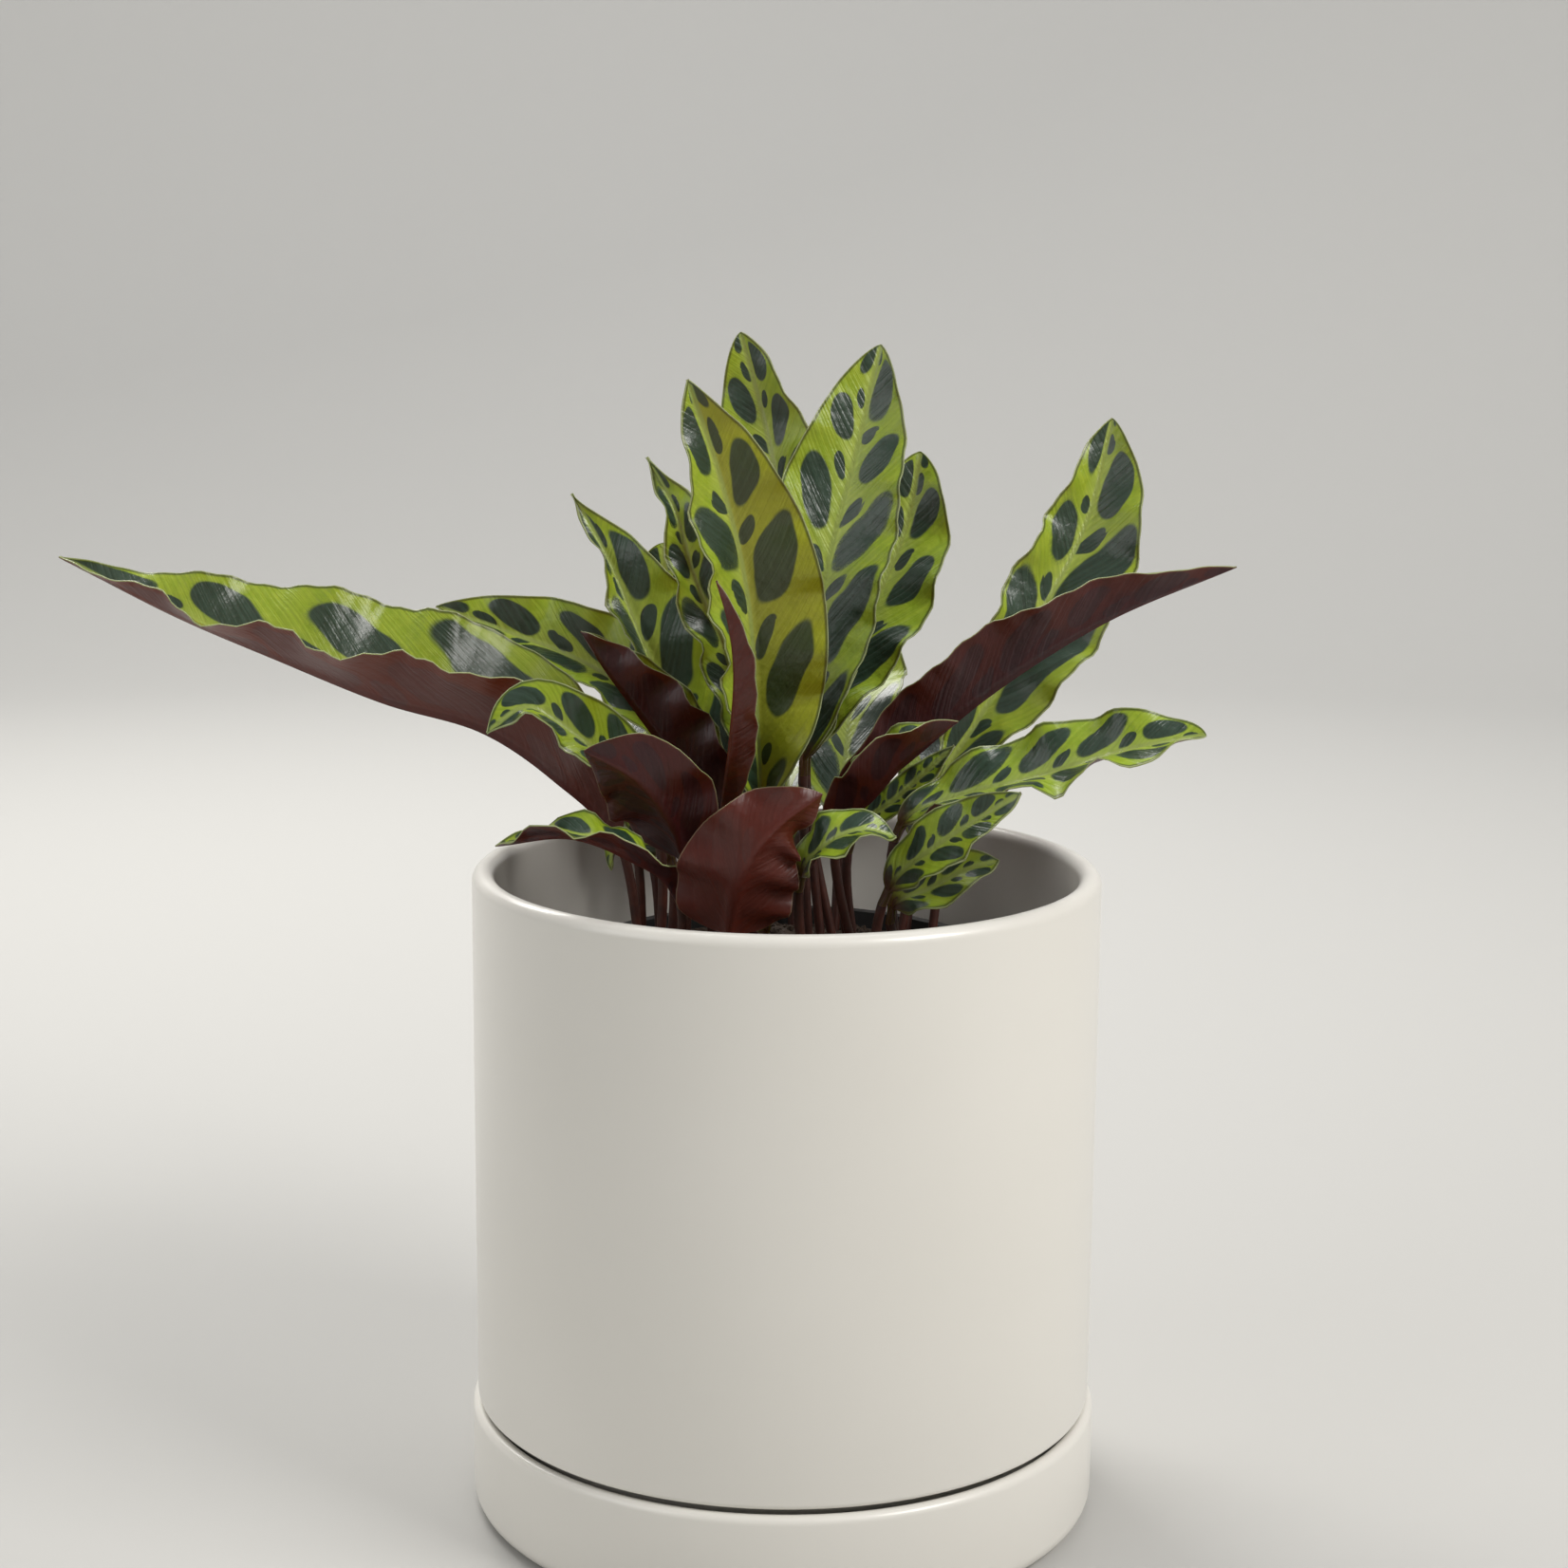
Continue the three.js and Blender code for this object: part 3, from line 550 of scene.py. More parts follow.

# %% [markdown]
# ## Where each leaf grows
#
# foot, in millimetres, is where the stalk enters the soil. The midrib runs from the collar, where the
# blade starts, to the tip, and on_picture has its points as read from the picture: across and down
# in pixels, then the depth, a guess. Worked out in millimetres, they are the same whole numbers
# as in the part's source. The five rear leaves can't be seen, so their midrib is in millimetres, and
# the points of leaf_behind_right are guessed too. look is the way that the upper face looks, half is
# the widest half blade on the left and on the right, and fold is how far each half rises out of the
# flat, in degrees. wave is the height of the margin's waves, their number and where they start on
# each side. form says how slowly the blade widens and narrows. glow is how far a half is tinted by
# painted backlight, the warm colour of light that comes through it in the picture.

# %% The leaves' own values
LEAVES = {
    "leaf_tall_front": dict(
        foot=(-6, -16),
        on_picture=[(803, 850, -20), (796, 740, -29), (786, 620, -38), (762, 510, -46), (723, 401, -52)],
        look=[[0.1, -1, 0], [0.15, -1, -0.05], [0.1, -1, -0.15]],
        half=[20, 23.5], fold=[[40, 62, 55, 45, 30], [75, 12, 5, 5, 20]],
        wave=[2.2, 5, 0.1, 0.5], form=[0.7, 0.85], glow=[0.1, 0.6]),
    "leaf_tall_back": dict(
        foot=(4, 28),
        on_picture=[(848, 800, 36), (842, 680, 48), (828, 560, 62), (803, 440, 76), (781, 350, 80)],
        look=[[-0.1, -1, 0.2], [-0.2, -1, 0.3]],
        half=[20, 18], fold=[[5], [30]],
        wave=[3, 5, 0.3, 0], form=[0.8, 0.7]),
    "leaf_tall_middle": dict(
        foot=(8, 2),
        on_picture=[(846, 800, 7), (856, 700, 11), (872, 600, 18), (900, 480, 28), (929, 364, 36)],
        look=[[-0.2, -1, 0.3], [-0.1, -1, 0.5]],
        half=[22, 21.5], fold=[[20], [20]],
        wave=[1.8, 4, 0.1, 0.55], form=[0.75, 0.75]),
    "leaf_tall_right": dict(
        foot=(18, 18),
        on_picture=[(850, 800, 22), (880, 716, 29), (920, 636, 38), (955, 550, 48), (968, 477, 52)],
        look=[[-0.3, -1, 0.2], [-0.2, -1, 0.3]],
        half=[19, 19], fold=[[15], [15]],
        wave=[2.5, 4.5, 0, 0.35], form=[0.8, 0.7]),
    "leaf_inner_small": dict(
        foot=(13, 10),
        on_picture=[(848, 800, 15), (860, 740, 20), (876, 670, 26), (888, 600, 30)],
        look=[[-0.2, -1, 0.2], [-0.2, -1, 0.2]],
        half=[11, 11], fold=[[20], [20]],
        wave=[2, 3, 0, 0.35], form=[0.7, 0.85]),
    "leaf_curled_tip": dict(
        foot=(-14, -4),
        on_picture=[(786, 800, -8), (765, 690, -12), (732, 610, -15), (710, 540, -17), (680, 482, -10)],
        look=[[-0.2, -1, 0.2], [-0.3, -1, 0.2]],
        half=[10, 16], fold=[[50], [20]],
        wave=[2.5, 5, 0.2, 0.6], form=[0.7, 1.1]),
    "leaf_broad_left": dict(
        foot=(-20, 4),
        on_picture=[(748, 850, 4), (716, 770, 4), (678, 680, 6), (645, 600, 9), (604, 519, 14)],
        look=[[-0.2, -1, 0.3], [-0.2, -1, 0.3]],
        half=[10, 26], fold=[[65], [10]],
        wave=[2.5, 4, 0.1, 0.4], form=[0.7, 1.25]),
    "leaf_short_behind": dict(
        foot=(-8, 18),
        on_picture=[(762, 800, 21), (730, 700, 26), (705, 620, 31), (697, 572, 32)],
        look=[[-0.1, -1, 0.2], [-0.1, -1, 0.2]],
        half=[13, 13], fold=[[15], [15]],
        wave=[2, 3, 0.1, 0.4], form=[0.7, 0.5]),
    "leaf_rolled_edge": dict(
        foot=(-18, -30),
        on_picture=[(766, 860, -40), (772, 790, -54), (778, 710, -64), (770, 655, -68), (756, 611, -66)],
        look=[[1, 0.3, 0], [1, 0.3, 0]],
        half=[7, 7], fold=[[50], [50]],
        wave=[1, 3, 0.1, 0.4], form=[0.7, 0.85], glow=[0.7, 0.7]),
    "leaf_folded_maroon": dict(
        foot=(-24, -14),
        on_picture=[(762, 880, -18), (712, 800, -22), (673, 748, -22), (640, 705, -22), (612, 667, -18)],
        look=[[0.7, 0.2, 0.7], [0.7, 0.1, 0.6]],
        half=[17, 17], fold=[[65], [80]],
        wave=[3, 5, 0.1, 0.4], form=[0.7, 0.85], glow=[0.15, 0.25]),
    "leaf_long_left": dict(
        foot=(-44, -18),
        on_picture=[(648, 880, -22), (587, 818, -24), (511, 768, -26), (405, 737, -28),
                    (292, 692, -28), (186, 648, -26), (63, 586, -20)],
        look=[[0.2, 0.2, 1], [0.1, 0.15, 1]],
        half=[25, 33], fold=[[30, 44, 26, 14, 35], [60, 68, 68, 62, 55]],
        wave=[3, 5, 0.1, 0.35], form=[0.62, 1.1], glow=[0.6, 0.1]),
    "leaf_back_left": dict(
        foot=(-24, 24),
        on_picture=[(735, 830, 29), (680, 742, 36), (620, 700, 44), (545, 668, 52), (460, 638, 56)],
        look=[[-0.1, -0.8, 0.5], [-0.05, -0.75, 0.6]],
        half=[12, 19], fold=[[35], [35]],
        wave=[2.5, 5, 0.1, 0.35], form=[0.7, 0.85]),
    "leaf_curled_left": dict(
        foot=(-40, -30),
        on_picture=[(690, 872, -36), (640, 805, -42), (595, 765, -46), (555, 745, -48), (512, 773, -48)],
        look=[[-0.1, -0.6, 0.7], [-0.3, -0.6, 0.7]],
        half=[7, 13], fold=[[20], [35]],
        wave=[2, 3, 0.1, 0.35], form=[0.7, 0.85]),
    "leaf_dark_left": dict(
        foot=(-32, -42),
        on_picture=[(722, 905, -48), (700, 850, -55), (665, 815, -60), (615, 790, -60)],
        look=[[0.2, 1, 0.3], [0.2, 1, 0.3]],
        half=[17, 17], fold=[[10], [10]],
        wave=[2, 3, 0.1, 0.4], form=[0.7, 0.85]),
    "leaf_small_pale": dict(
        foot=(-38, -2),
        on_picture=[(705, 905, -2), (684, 875, -4), (653, 836, -6)],
        look=[[-0.3, -0.8, 0.5], [-0.3, -0.8, 0.5]],
        half=[6, 6], fold=[[20], [20]],
        wave=[1, 2, 0.1, 0.4], form=[0.7, 0.85]),
    "leaf_over_rim": dict(
        foot=(-34, -46),
        on_picture=[(712, 935, -56), (660, 900, -64), (600, 878, -62), (523, 890, -54)],
        look=[[0.1, 0.1, 1], [0.1, 0, 1]],
        half=[11, 11], fold=[[20], [30]],
        wave=[2, 3, 0.1, 0.4], form=[0.7, 0.85]),
    "leaf_spear_left": dict(
        foot=(-46, 4),
        on_picture=[(668, 880, 2), (635, 810, 4), (603, 749, 6), (587, 713, 6)],
        look=[[0.3, -1, 0.3], [0.3, -1, 0.3]],
        half=[3, 3], fold=[[60], [60]],
        wave=[0.3, 3, 0.1, 0.4], form=[0.7, 0.85]),
    "leaf_small_hanging": dict(
        foot=(-40, 14),
        on_picture=[(684, 900, 14), (662, 886, 12), (645, 895, 10), (642, 917, 10)],
        look=[[-0.4, -0.5, 0.9], [-0.8, -0.5, 0.4]],
        half=[4.5, 4.5], fold=[[20], [20]],
        wave=[0.5, 2, 0.1, 0.4], form=[0.7, 0.85]),
    "leaf_front_maroon": dict(
        foot=(-14, -52),
        on_picture=[(767, 984, -64), (784, 920, -72), (812, 875, -74), (866, 838, -68)],
        look=[[0.1, 1, 0.2], [-0.1, 1, 0.4]],
        half=[18, 19], fold=[[15], [15]],
        wave=[3, 4, 0.1, 0.4], form=[0.3, 0.75], glow=[0.75, 0.65]),
    "leaf_front_small": dict(
        foot=(8, -50),
        on_picture=[(842, 925, -62), (866, 892, -68), (905, 872, -70), (944, 880, -66)],
        look=[[-0.5, -0.6, 0.6], [0, -0.5, 0.9]],
        half=[9, 9], fold=[[20], [20]],
        wave=[2, 2.5, 0.1, 0.4], form=[0.7, 0.85]),
    "sprout_front": dict(
        foot=(-4, -46),
        on_picture=[(806, 985, -48), (800, 968, -50), (808, 950, -52)],
        look=[[-0.2, -1, 0.3], [-0.2, -1, 0.3]],
        half=[3, 3], fold=[[30], [30]],
        wave=[0.2, 2, 0.1, 0.4], form=[0.7, 0.85], stalk=0.7),
    "leaf_upright_right": dict(
        foot=(34, 14),
        on_picture=[(985, 835, 22), (1030, 760, 29), (1090, 655, 40), (1142, 555, 52), (1172, 442, 60)],
        look=[[-0.4, -1, 0.3], [-0.3, -1, 0.3]],
        half=[16, 24], fold=[[45], [12]],
        wave=[2.5, 5, 0.1, 0.4], form=[0.9, 0.75]),
    "leaf_long_right": dict(
        foot=(22, -6),
        on_picture=[(890, 850, -10), (950, 800, -13), (1050, 722, -18),
                    (1170, 652, -22), (1303, 597, -24)],
        look=[[-0.3, 0.1, 0.9], [-0.2, 0, 1]],
        half=[15, 19], fold=[[78], [64]],
        wave=[2, 4, 0.1, 0.3], form=[0.6, 0.9]),
    "leaf_folded_right": dict(
        foot=(26, -22),
        on_picture=[(880, 880, -28), (920, 835, -38), (960, 795, -44), (1009, 760, -44)],
        look=[[-0.5, 0.1, 0.8], [-0.5, 0.1, 0.8]],
        half=[13, 13], fold=[[60], [55]],
        wave=[2, 3, 0.1, 0.4], form=[0.7, 0.85]),
    "leaf_sliver_right": dict(
        foot=(24, -14),
        on_picture=[(898, 884, -19), (946, 838, -23), (1004, 784, -28)],
        look=[[-0.3, -1, 0.3], [-0.3, -1, 0.3]],
        half=[5, 5], fold=[[15], [15]],
        wave=[0.6, 3, 0.1, 0.4], form=[0.7, 0.85]),
    "leaf_waved_right": dict(
        foot=(36, -32),
        on_picture=[(948, 872, -40), (1010, 840, -48), (1090, 820, -54),
                    (1190, 788, -62), (1271, 776, -66)],
        look=[[-0.2, -0.6, 0.8], [0, -0.5, 0.9]],
        half=[14.5, 14.5], fold=[[28], [25]],
        wave=[3.5, 4, 0.1, 0.5], form=[0.75, 0.6]),
    "leaf_low_right": dict(
        foot=(24, -48),
        on_picture=[(935, 940, -58), (985, 893, -67), (1030, 863, -75), (1076, 836, -80)],
        look=[[-0.3, -0.8, 0.5], [-0.3, -0.8, 0.5]],
        half=[9.5, 9.5], fold=[[15], [15]],
        wave=[1.5, 2.5, 0.1, 0.4], form=[0.7, 0.85]),
    "leaf_inner_right": dict(
        foot=(42, -36),
        on_picture=[(940, 957, -42), (980, 935, -46), (1015, 918, -48), (1054, 905, -46)],
        look=[[-0.1, -0.8, 0.6], [-0.1, -0.8, 0.6]],
        half=[9, 9], fold=[[20], [20]],
        wave=[1.5, 2.5, 0.1, 0.4], form=[0.7, 0.85]),
    "leaf_rear_left_tall": dict(
        foot=(-10, 42),
        midrib=[[-14, 52, 214], [-20, 76, 248], [-30, 112, 278], [-44, 150, 286]],
        look=[[0.1, -0.8, 0.7], [0.1, -0.3, 1]],
        half=[20, 20], fold=[[20], [20]],
        wave=[2.5, 4, 0.1, 0.5], form=[0.7, 0.85]),
    "leaf_rear_right_tall": dict(
        foot=(16, 42),
        midrib=[[18, 54, 212], [21, 80, 240], [24, 112, 262], [24, 146, 264]],
        look=[[-0.1, -0.8, 0.7], [-0.1, -0.3, 1]],
        half=[20, 20], fold=[[20], [20]],
        wave=[2.5, 4, 0.1, 0.5], form=[0.7, 0.85]),
    "leaf_rear_right_low": dict(
        foot=(38, 26),
        midrib=[[44, 38, 208], [54, 58, 228], [68, 86, 242], [80, 118, 240]],
        look=[[-0.5, -0.6, 0.8], [-0.2, -0.2, 1]],
        half=[18, 18], fold=[[25], [25]],
        wave=[2.5, 4, 0.2, 0.6], form=[0.7, 0.85]),
    "leaf_rear_left_low": dict(
        foot=(-34, 30),
        midrib=[[-39, 40, 206], [-50, 60, 228], [-64, 88, 240], [-76, 120, 232]],
        look=[[0.5, -0.6, 0.8], [0.2, -0.2, 1]],
        half=[18, 18], fold=[[25], [25]],
        wave=[2.5, 4, 0.3, 0.7], form=[0.7, 0.85]),
    "leaf_rear_low": dict(
        foot=(2, 54),
        midrib=[[2, 64, 202], [1, 86, 218], [-2, 112, 224], [-4, 138, 212]],
        look=[[0, -0.6, 0.8], [0, 0.1, 1]],
        half=[16, 16], fold=[[25], [25]],
        wave=[2, 4, 0.4, 0.8], form=[0.7, 0.85]),
    "leaf_behind_right": dict(
        foot=(46, 20),
        on_picture=[(1008, 816, 34), (1058, 716, 66), (1104, 640, 98), (1134, 572, 126)],
        look=[[-0.5, -0.7, 0.6], [-0.3, -0.6, 0.8]],
        half=[14, 14], fold=[[25], [25]],
        wave=[2.5, 4, 0.2, 0.6], form=[0.7, 0.85]),
}
for leaf in LEAVES.values():
    if "on_picture" in leaf:
        leaf["midrib"] = [from_picture(*place) for place in leaf["on_picture"]]
print("leaves:", len(LEAVES))

# %% [markdown]
# ## A leaf as one closed skin
#
# The midrib is a smooth curve through its points. Rings of points are placed along it: round rings
# for the stalk, which open at the collar into flat V-shaped ones for the blade. A ring's points run
# along the upper face from the left margin to the right, and back along the lower face. Skinning a
# grid of rings gives stalk, rib and blade in one surface, as on the real plant. A curve with a bevel
# could make the stalk, and a plane with modifiers the blade, but there would be a seam between them.

# %% The midrib's curve and its frames
STALK_RADIUS = 1.5
BLADE = 0.42  # thickness, as thin as looks right and inside the solid's 0.8
FOOT_HEIGHT = 166.0
KNOT_STEPS = 64  # points of the smooth curve between two knots
ACROSS = np.sin(np.linspace(-np.pi / 2, np.pi / 2, 31))  # finer near the margins


def unit(vectors):
    return vectors / np.maximum(np.linalg.norm(vectors, axis=-1, keepdims=True), 1e-9)


def smooth_path(knots):
    """Points of a centripetal Catmull-Rom curve: cubic pieces whose speed follows the square root
    of the distance between knots, so that the curve doesn't overshoot."""
    knots = np.asarray(knots, float)
    wide = np.vstack([2 * knots[0] - knots[1], knots, 2 * knots[-1] - knots[-2]])
    gap = np.sqrt(np.linalg.norm(np.diff(wide, axis=0), axis=1))[:, None]
    before, start, end, beyond = wide[:-3], wide[1:-2], wide[2:-1], wide[3:]
    d0, d1, d2 = gap[:-2], gap[1:-1], gap[2:]
    leave = ((start - before) / d0 - (end - before) / (d0 + d1) + (end - start) / d1) * d1
    arrive = ((end - start) / d1 - (beyond - start) / (d1 + d2) + (beyond - end) / d2) * d1
    w = np.linspace(0, 1, KNOT_STEPS, endpoint=False)[:, None]
    pieces = (start[:, None] + leave[:, None] * w
              + (-3 * start + 3 * end - 2 * leave - arrive)[:, None] * w**2
              + (2 * start - 2 * end + leave + arrive)[:, None] * w**3)
    return np.vstack([pieces.reshape(-1, 3), knots[-1:]])


def values_along(values, share):
    return np.interp(share, np.linspace(0, 1, len(values)), values)


def leaf_frames(leaf, distance, dense, travelled, collar):
    """Middle, side and face vectors of the rings at some distances from the foot."""

    def at(where):
        return np.stack([np.interp(where, travelled, dense[:, axis]) for axis in range(3)], -1)

    total = travelled[-1]
    forward = unit(at(np.minimum(distance + 2, total)) - at(np.maximum(distance - 2, 0)))
    share = np.clip((distance - collar) / (total - collar), 0, 1)
    looks = unit(np.asarray(leaf["look"], float))
    face = np.stack([values_along(looks[:, axis], share) for axis in range(3)], -1)
    face = unit(face - (face * forward).sum(-1, keepdims=True) * forward)
    return share, at(distance), np.cross(forward, face), face


# %% [markdown]
# ## The blade's section
#
# The outline along the blade is share^widen · (1 - share)^narrow, scaled so that its widest place is
# 1. Each half rises from the midrib by its fold, and a sine wave that grows towards the margin lifts
# and lowers it. The lower face lies one thickness below, with the rib standing out under the middle.
# Three finer reliefs are added that the solid leaves out: the upper face has a shallow groove over
# the rib, the fields between the side veins swell by a tenth of a millimetre or two, and the margin
# is crinkled by less than a millimetre. Each point also keeps its own numbers for the pattern.

# %% Rings of a leaf
def leaf_rings(leaf):
    """Ring points in millimetres, the numbers that the pattern needs for each of them, the number
    of rings in the stalk and the blade's length."""
    foot = [*leaf["foot"], FOOT_HEIGHT]
    dense = smooth_path([foot, *leaf["midrib"]])
    travelled = np.r_[0, np.cumsum(np.linalg.norm(np.diff(dense, axis=0), axis=1))]
    collar, total = travelled[KNOT_STEPS], travelled[-1]
    length = total - collar
    radius = STALK_RADIUS * leaf.get("stalk", 1)
    stalk_rows = np.linspace(0, collar - 5, max(4, int(collar / 5)))
    turn = np.linspace(0, np.pi, max(24, int(length / 1.7)))
    blade_rows = collar + length * (1 - np.cos(turn)) / 2
    distance = np.r_[stalk_rows, blade_rows]
    share, middle, side, face = leaf_frames(leaf, distance, dense, travelled, collar)

    widen, narrow = leaf["form"]
    peak = (widen / (widen + narrow)) ** widen * (narrow / (widen + narrow)) ** narrow
    outline = share**widen * (1 - share) ** narrow / peak
    least = 0.9 * radius * (1 - share) + 0.4 * share
    left = ACROSS < 0
    out = np.abs(ACROSS)[None]
    widest = np.where(left, leaf["half"][0], leaf["half"][1])
    half = np.maximum(widest * outline[:, None], least[:, None])
    fold = np.radians(np.where(left, values_along(leaf["fold"][0], share)[:, None],
                               values_along(leaf["fold"][1], share)[:, None]))
    height, count, start_left, start_right = leaf["wave"]
    phase = 2 * np.pi * (count * share[:, None] + np.where(left, start_left, start_right))
    bow = np.clip(np.sin(np.pi * share), 0, 1)[:, None]  # 0 at both ends of the blade
    wave = height * np.sqrt(bow) * out**1.5 * np.sin(phase)
    along = (share * length)[:, None]
    swell = 0.16 * np.sin(2 * np.pi * (along - 1.3 * out * half) / 5.2) * out * (1 - out) * 4
    start = 2 * sum(leaf["foot"]) + np.where(left, 0, 2)
    crinkle = 0.9 * np.sin(2 * np.pi * along / 10.5 + start) * out**3
    groove = 0.35 * np.exp(-((out * half / 0.8) ** 2)) * (1 - share)[:, None] ** 0.5

    sign = np.sign(ACROSS)[None]
    lift = wave + swell * np.sqrt(bow) + crinkle * bow
    sideways = sign * (out * half * np.cos(fold) - lift * np.sin(fold))
    upwards = out * half * np.sin(fold) + lift * np.cos(fold) - groove
    rib = 1.5 * radius * (1 - share)[:, None] ** 0.8 * np.exp(-((out * half / (0.9 * radius)) ** 2))
    under_side = sideways + BLADE * np.sin(sign * fold)
    under_up = upwards - BLADE * np.cos(fold) - rib + groove

    turn = np.radians(78 * ACROSS)[None]
    round_side = radius * np.sin(turn) + 0 * half
    round_up = radius * np.cos(turn) + 0 * half
    blade = (distance >= collar - 1e-6)[:, None]
    upper = (np.where(blade, sideways, round_side), np.where(blade, upwards, round_up))
    lower = (np.where(blade, under_side, round_side), np.where(blade, under_up, -round_up))

    def placed(section):
        return (middle[:, None] + side[:, None] * section[0][..., None]
                + face[:, None] * section[1][..., None])

    def both(numbers):
        numbers = np.broadcast_to(numbers, half.shape)
        return np.concatenate([numbers, numbers[:, ::-1]], 1)

    rings = np.concatenate([placed(upper), placed(lower)[:, ::-1]], 1)
    # painted backlight: how strongly each half is tinted warm where light comes through it
    glow = leaf.get("glow", [0, 0])
    carried = {"along": both(along), "across": both(ACROSS[None]), "half_width": both(half),
               "glow": both(np.where(left, glow[0], glow[1])[None])}
    return rings, carried, len(stalk_rows), length


def leaf_surface(rings, stalk_rows):
    """Quads between the rings, a fan at each end, and the finish of each face: 0 is the upper face,
    1 the underside and 2 the stalk."""
    count, around = rings.shape[:2]
    row, column = np.meshgrid(np.arange(count - 1), np.arange(around), indexing="ij")
    after = (column + 1) % around
    quads = np.stack([row * around + column, row * around + after,
                      (row + 1) * around + after, (row + 1) * around + column], -1).reshape(-1, 4)
    upper = (column < around // 2) | (column == around - 1)
    finish = np.where(row < stalk_rows - 1, 2, np.where(upper, 0, 1)).reshape(-1)
    points = np.vstack([rings.reshape(-1, 3), rings[0].mean(0), rings[-1].mean(0)])
    ring = np.arange(around)
    following = (ring + 1) % around
    last = (count - 1) * around
    fans = [np.stack([np.full(around, count * around), following, ring], 1),
            np.stack([np.full(around, count * around + 1), last + ring, last + following], 1)]
    faces = quads.tolist() + fans[0].tolist() + fans[1].tolist()
    return points, faces, np.r_[finish, np.full(around, 2), np.full(around, 1)]


# %% [markdown]
# ## The pattern
#
# On each half a row of large dark ovals slants towards the tip, with small ones between them near
# the midrib. In slanted coordinates that is simple. The number "slanted" is the distance along the
# midrib less the forward lean of the side veins, so it is the same all along one vein. Counted in
# steps of one oval, its remainder is the place within a step, and an oval is where
# (step / width)² + (out / reach)² is under 1. Noise bends the outlines so that no two are alike.
# The side veins are noise that is stretched along them.


# %% Ovals, veins and margins from a leaf's own numbers
class LeafPattern:
    """Masks from 0 to 1 on a leaf, from the numbers that its mesh carries."""

    def __init__(self, finish):
        along, across = finish.value("along"), finish.value("across")
        half, pitch, draw = finish.value("half_width"), finish.value("pitch"), finish.value("draw")
        self.out = abs(across)
        millimetres_out = self.out * half
        right = finish.step(across, -0.01, 0.01)
        own = finish.vector(along + 500 * draw, across * half, draw * 90)
        wobble = finish.noise(own, 0.05, 1.0)
        wobble_2 = finish.noise(finish.vector(across * half, along + 900 * draw, 7.0), 0.06, 1.0)
        slanted = along - 1.05 * millimetres_out - 0.012 * millimetres_out * millimetres_out
        counted = slanted / pitch + 0.45 * right + draw + 0.5 * (wobble - 0.5)
        reach = self.out + 0.2 * (wobble_2 - 0.5)
        cell = finish.math("FLOOR", counted)
        lot = finish.node("ShaderNodeTexWhiteNoise", {"noise_dimensions": "2D"},
                          Vector=finish.vector(cell + 0.5, right * 5 + draw * 31))
        chance = finish.out(lot, "Value")
        place = finish.math("FRACT", counted) - 0.5
        size = 0.84 + 0.28 * chance
        large = self.oval(finish, place / (0.34 * size), (reach - 0.49) / (0.39 * size))
        between = finish.math("FRACT", counted + 0.5) - 0.5
        small = self.oval(finish, between / 0.125, (reach - 0.2) / (0.17 * (0.7 + 0.5 * chance)))
        self.oval_mask = finish.math("MAXIMUM", large, small)
        self.along = along
        # how strongly the painted backlight tints this half
        self.glow = finish.value("glow")
        self.draw = draw
        fibres = finish.vector(slanted, 0.05 * millimetres_out + 70 * draw, right)
        self.veins = finish.step(finish.noise(fibres, 0.62, 1.0), 0.3, 0.7)
        self.midrib = finish.step(millimetres_out, 1.25, 0.55)
        inwards = (1 - self.out) * half
        self.band = finish.step(inwards, 1.3, 0.6)
        # where the pale painted highlight along the margin goes
        self.edge = finish.step(inwards, 0.4, 0.2)
        self.cloud = finish.noise(own, 0.35, 2.0)

    @staticmethod
    def oval(finish, across_it, along_it):
        return finish.step(across_it * across_it + along_it * along_it, 1.12, 0.86)


# %% [markdown]
# ## The upper face
#
# The ground is lime green, paler beside the midrib, and the ovals are a deep green with a grey
# sheen. Along the margin runs a thin dark band, and on its outer line a pale painted highlight. A
# leaf is thin, so part of the light goes through it. A Mix Shader joins the glossy surface with a
# Translucent BSDF, and its factor is smaller in the ovals, where the leaf is denser. That is why the
# pattern also shows on a leaf that is lit from behind.

# %% Upper face
green = Finish("leaf_upper_face")
pattern = LeafPattern(green)
ground = green.mix(pattern.cloud, colour(152, 194, 34), colour(208, 230, 80))
ground = green.mix(0.35 * pattern.draw, ground, colour(176, 190, 30))
ground = green.mix(0.5 * green.step(pattern.out, 0.5, 0.0), ground, colour(218, 236, 128))
ground = green.mix(0.3 * pattern.veins, ground, colour(112, 156, 34))
dark = green.mix(pattern.cloud, colour(20, 42, 26), colour(48, 72, 54))
dark = green.mix(0.5 * pattern.veins, dark, colour(62, 86, 70))
# painted backlight: a warm olive tint on ground and ovals where light comes through the blade
ground = green.mix(pattern.glow, ground, colour(172, 162, 20))
dark = green.mix(pattern.glow, dark, colour(62, 72, 20))
face_colour = green.mix(pattern.oval_mask, ground, dark)
face_colour = green.mix(0.8 * pattern.midrib, face_colour, colour(176, 196, 100))
face_colour = green.mix(0.8 * pattern.band, face_colour, colour(44, 66, 34))
# painted highlight: a pale line along the margin
face_colour = green.mix(0.8 * pattern.edge, face_colour, colour(196, 206, 150))
face_colour = green.mix(green.step(pattern.along, 9.0, 1.0), face_colour, colour(74, 44, 26))
relief = 0.5 * pattern.veins + 1.4 * pattern.cloud
blade_shader = green.surface(
    Base_Color=face_colour,
    Roughness=0.3 + 0.12 * pattern.cloud - 0.04 * pattern.oval_mask,
    Coat_Weight=0.3,
    Coat_Roughness=0.2,
    Normal=green.bump(relief, 0.0003, 0.8),
)
through = green.node("ShaderNodeBsdfTranslucent", Color=colour(190, 205, 40))
joined = green.node("ShaderNodeMixShader")
green.feed(joined, "0", 0.34 - 0.2 * pattern.oval_mask)
green.tree.links.new(blade_shader.outputs[0], joined.inputs[1])
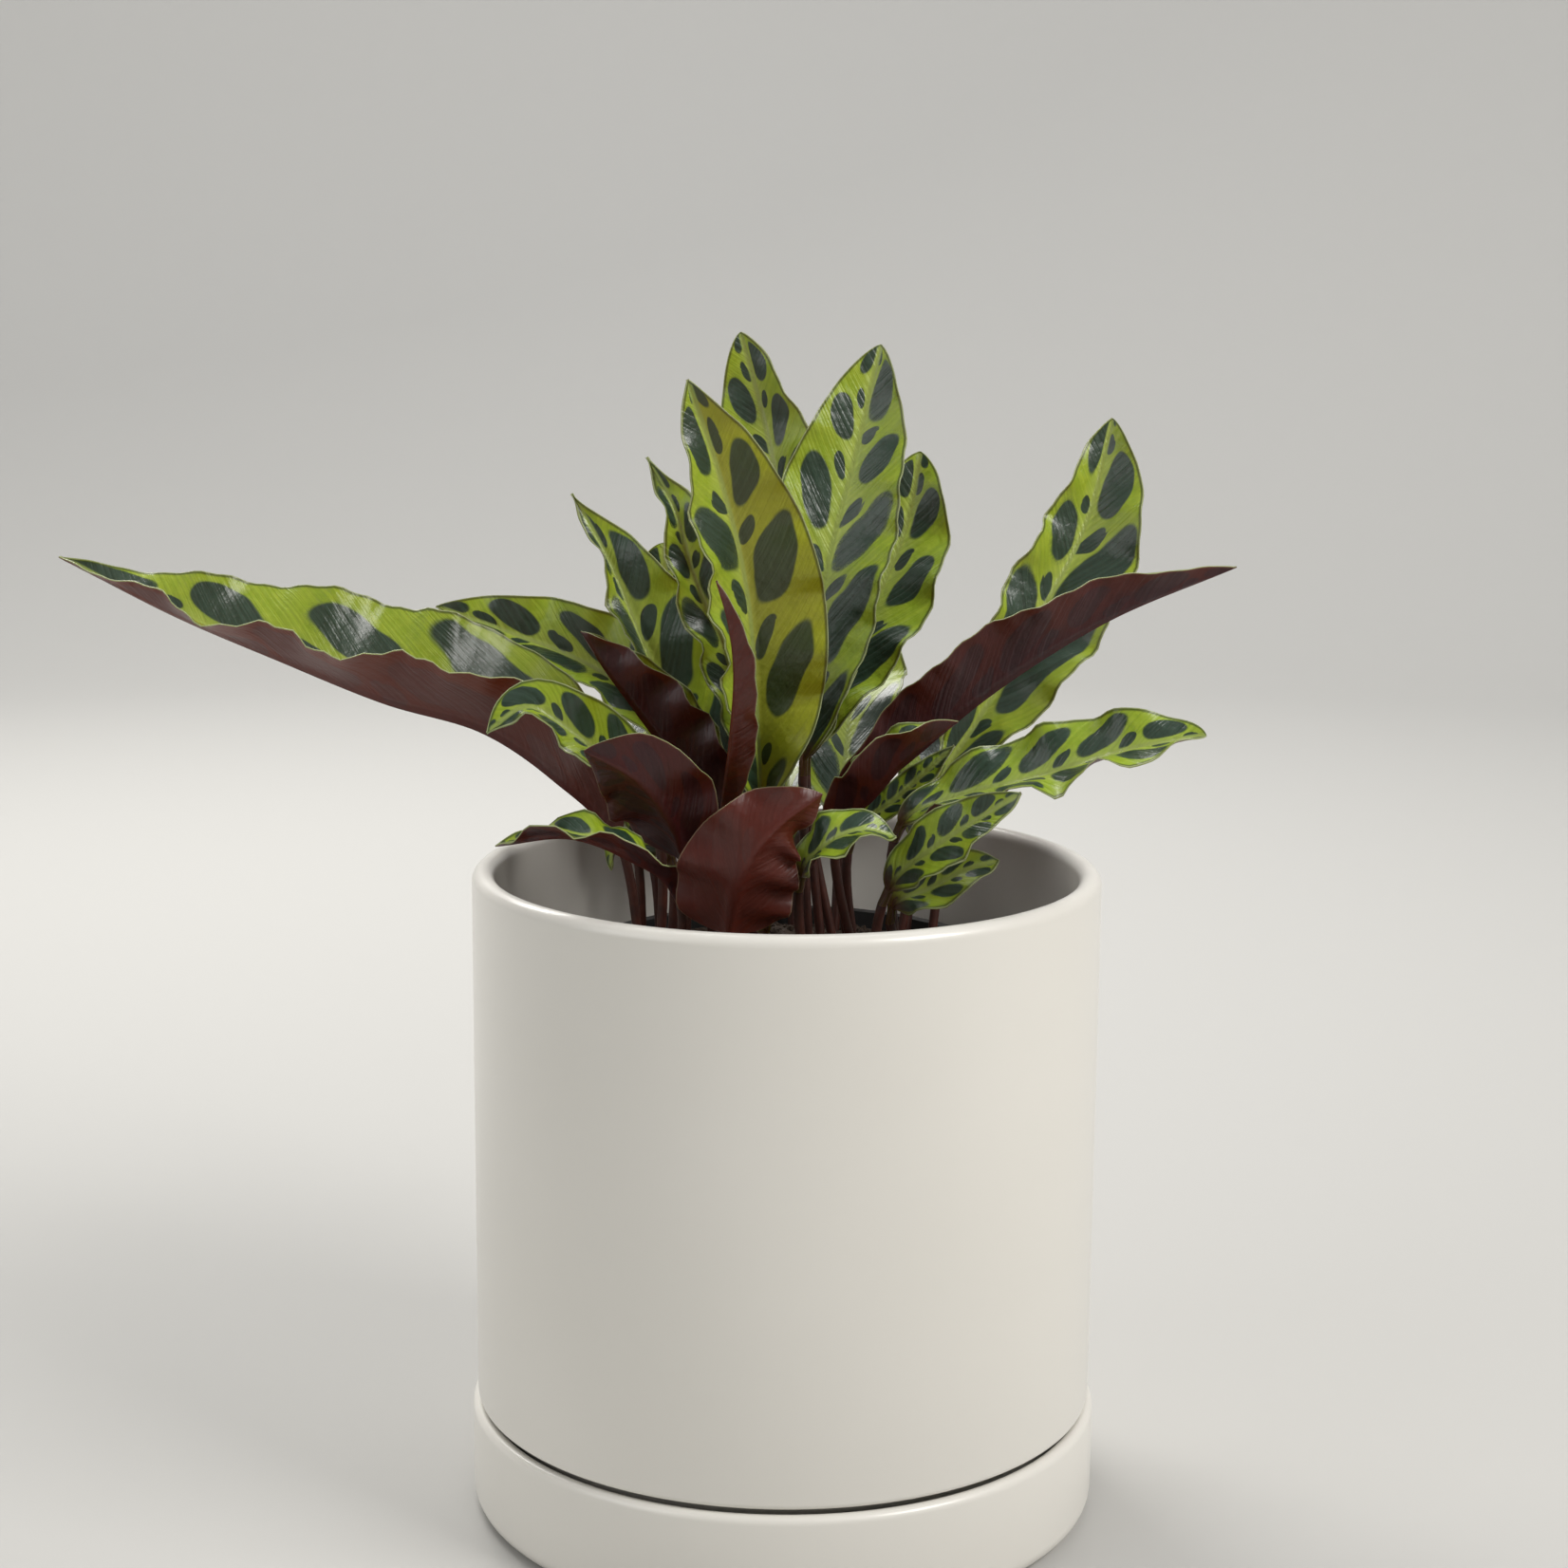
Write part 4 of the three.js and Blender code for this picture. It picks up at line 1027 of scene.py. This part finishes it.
green.tree.links.new(through.outputs[0], joined.inputs[2])
leaf_upper_face = green.end(joined)

# %% [markdown]
# ## The underside and the stalk
#
# Below, the leaf is a deep maroon with a satin sheen. The ovals show faintly as darker patches, the
# side veins as fine lines, and the rib is a little lighter. The stalk has the same red-brown.

# %% Underside and stalk
maroon = Finish("leaf_underside")
pattern = LeafPattern(maroon)
skin = maroon.mix(pattern.cloud, colour(44, 15, 20), colour(70, 22, 27))
skin = maroon.mix(0.45 * pattern.oval_mask, skin, colour(30, 12, 18))
skin = maroon.mix(0.3 * pattern.veins, skin, colour(82, 32, 34))
skin = maroon.mix(0.6 * maroon.step(pattern.out, 0.07, 0.02), skin, colour(92, 40, 38))
# painted backlight: an orange-brown tint where light comes through the blade
skin = maroon.mix(0.55 * pattern.glow, skin, colour(126, 52, 28))
# painted highlight: a pale line along the margin of the underside
skin = maroon.mix(0.6 * pattern.edge, skin, colour(150, 130, 100))
under_shader = maroon.surface(
    Base_Color=skin,
    Roughness=0.34 + 0.12 * pattern.cloud,
    Coat_Weight=0.15,
    Coat_Roughness=0.3,
    Normal=maroon.bump(0.4 * pattern.veins + pattern.cloud, 0.0003, 0.7),
)
through = maroon.node("ShaderNodeBsdfTranslucent", Color=colour(176, 74, 36))
joined = maroon.node("ShaderNodeMixShader")
maroon.feed(joined, "0", 0.3 - 0.14 * pattern.oval_mask)
maroon.tree.links.new(under_shader.outputs[0], joined.inputs[1])
maroon.tree.links.new(through.outputs[0], joined.inputs[2])
leaf_underside = maroon.end(joined)

stem = Finish("leaf_stalk")
streak = stem.noise(stem.position(), 260.0, 3.0)
leaf_stalk = stem.end(stem.surface(
    Base_Color=stem.mix(streak, colour(34, 15, 14), colour(84, 42, 30)),
    Roughness=0.42,
    Normal=stem.bump(streak, 0.0002, 0.4),
))

# %% [markdown]
# ## All the leaves
#
# The pitch of the ovals follows the width of the blade, so that a wide leaf has larger ones, and
# each leaf draws a number of its own that shifts its pattern.

# %% Every leaf in its place
for name, leaf in LEAVES.items():
    rings, carried, stalk_rows, blade_length = leaf_rings(leaf)
    points, faces, finish = leaf_surface(rings, stalk_rows)
    ovals = max(3, round(blade_length / (1.3 * max(leaf["half"]) + 1)))
    carried["pitch"] = np.full(rings.shape[:2], blade_length / ovals)
    carried["draw"] = np.full(rings.shape[:2], rng.uniform())
    values = {key: np.r_[numbers.reshape(-1), numbers[0].mean(), numbers[-1].mean()]
              for key, numbers in carried.items()}
    piece = make_piece(name.replace("leaf_", "blade_"), points, faces,
                       [leaf_upper_face, leaf_underside, leaf_stalk], finish, values=values)
    dress(piece, "leaf", name)
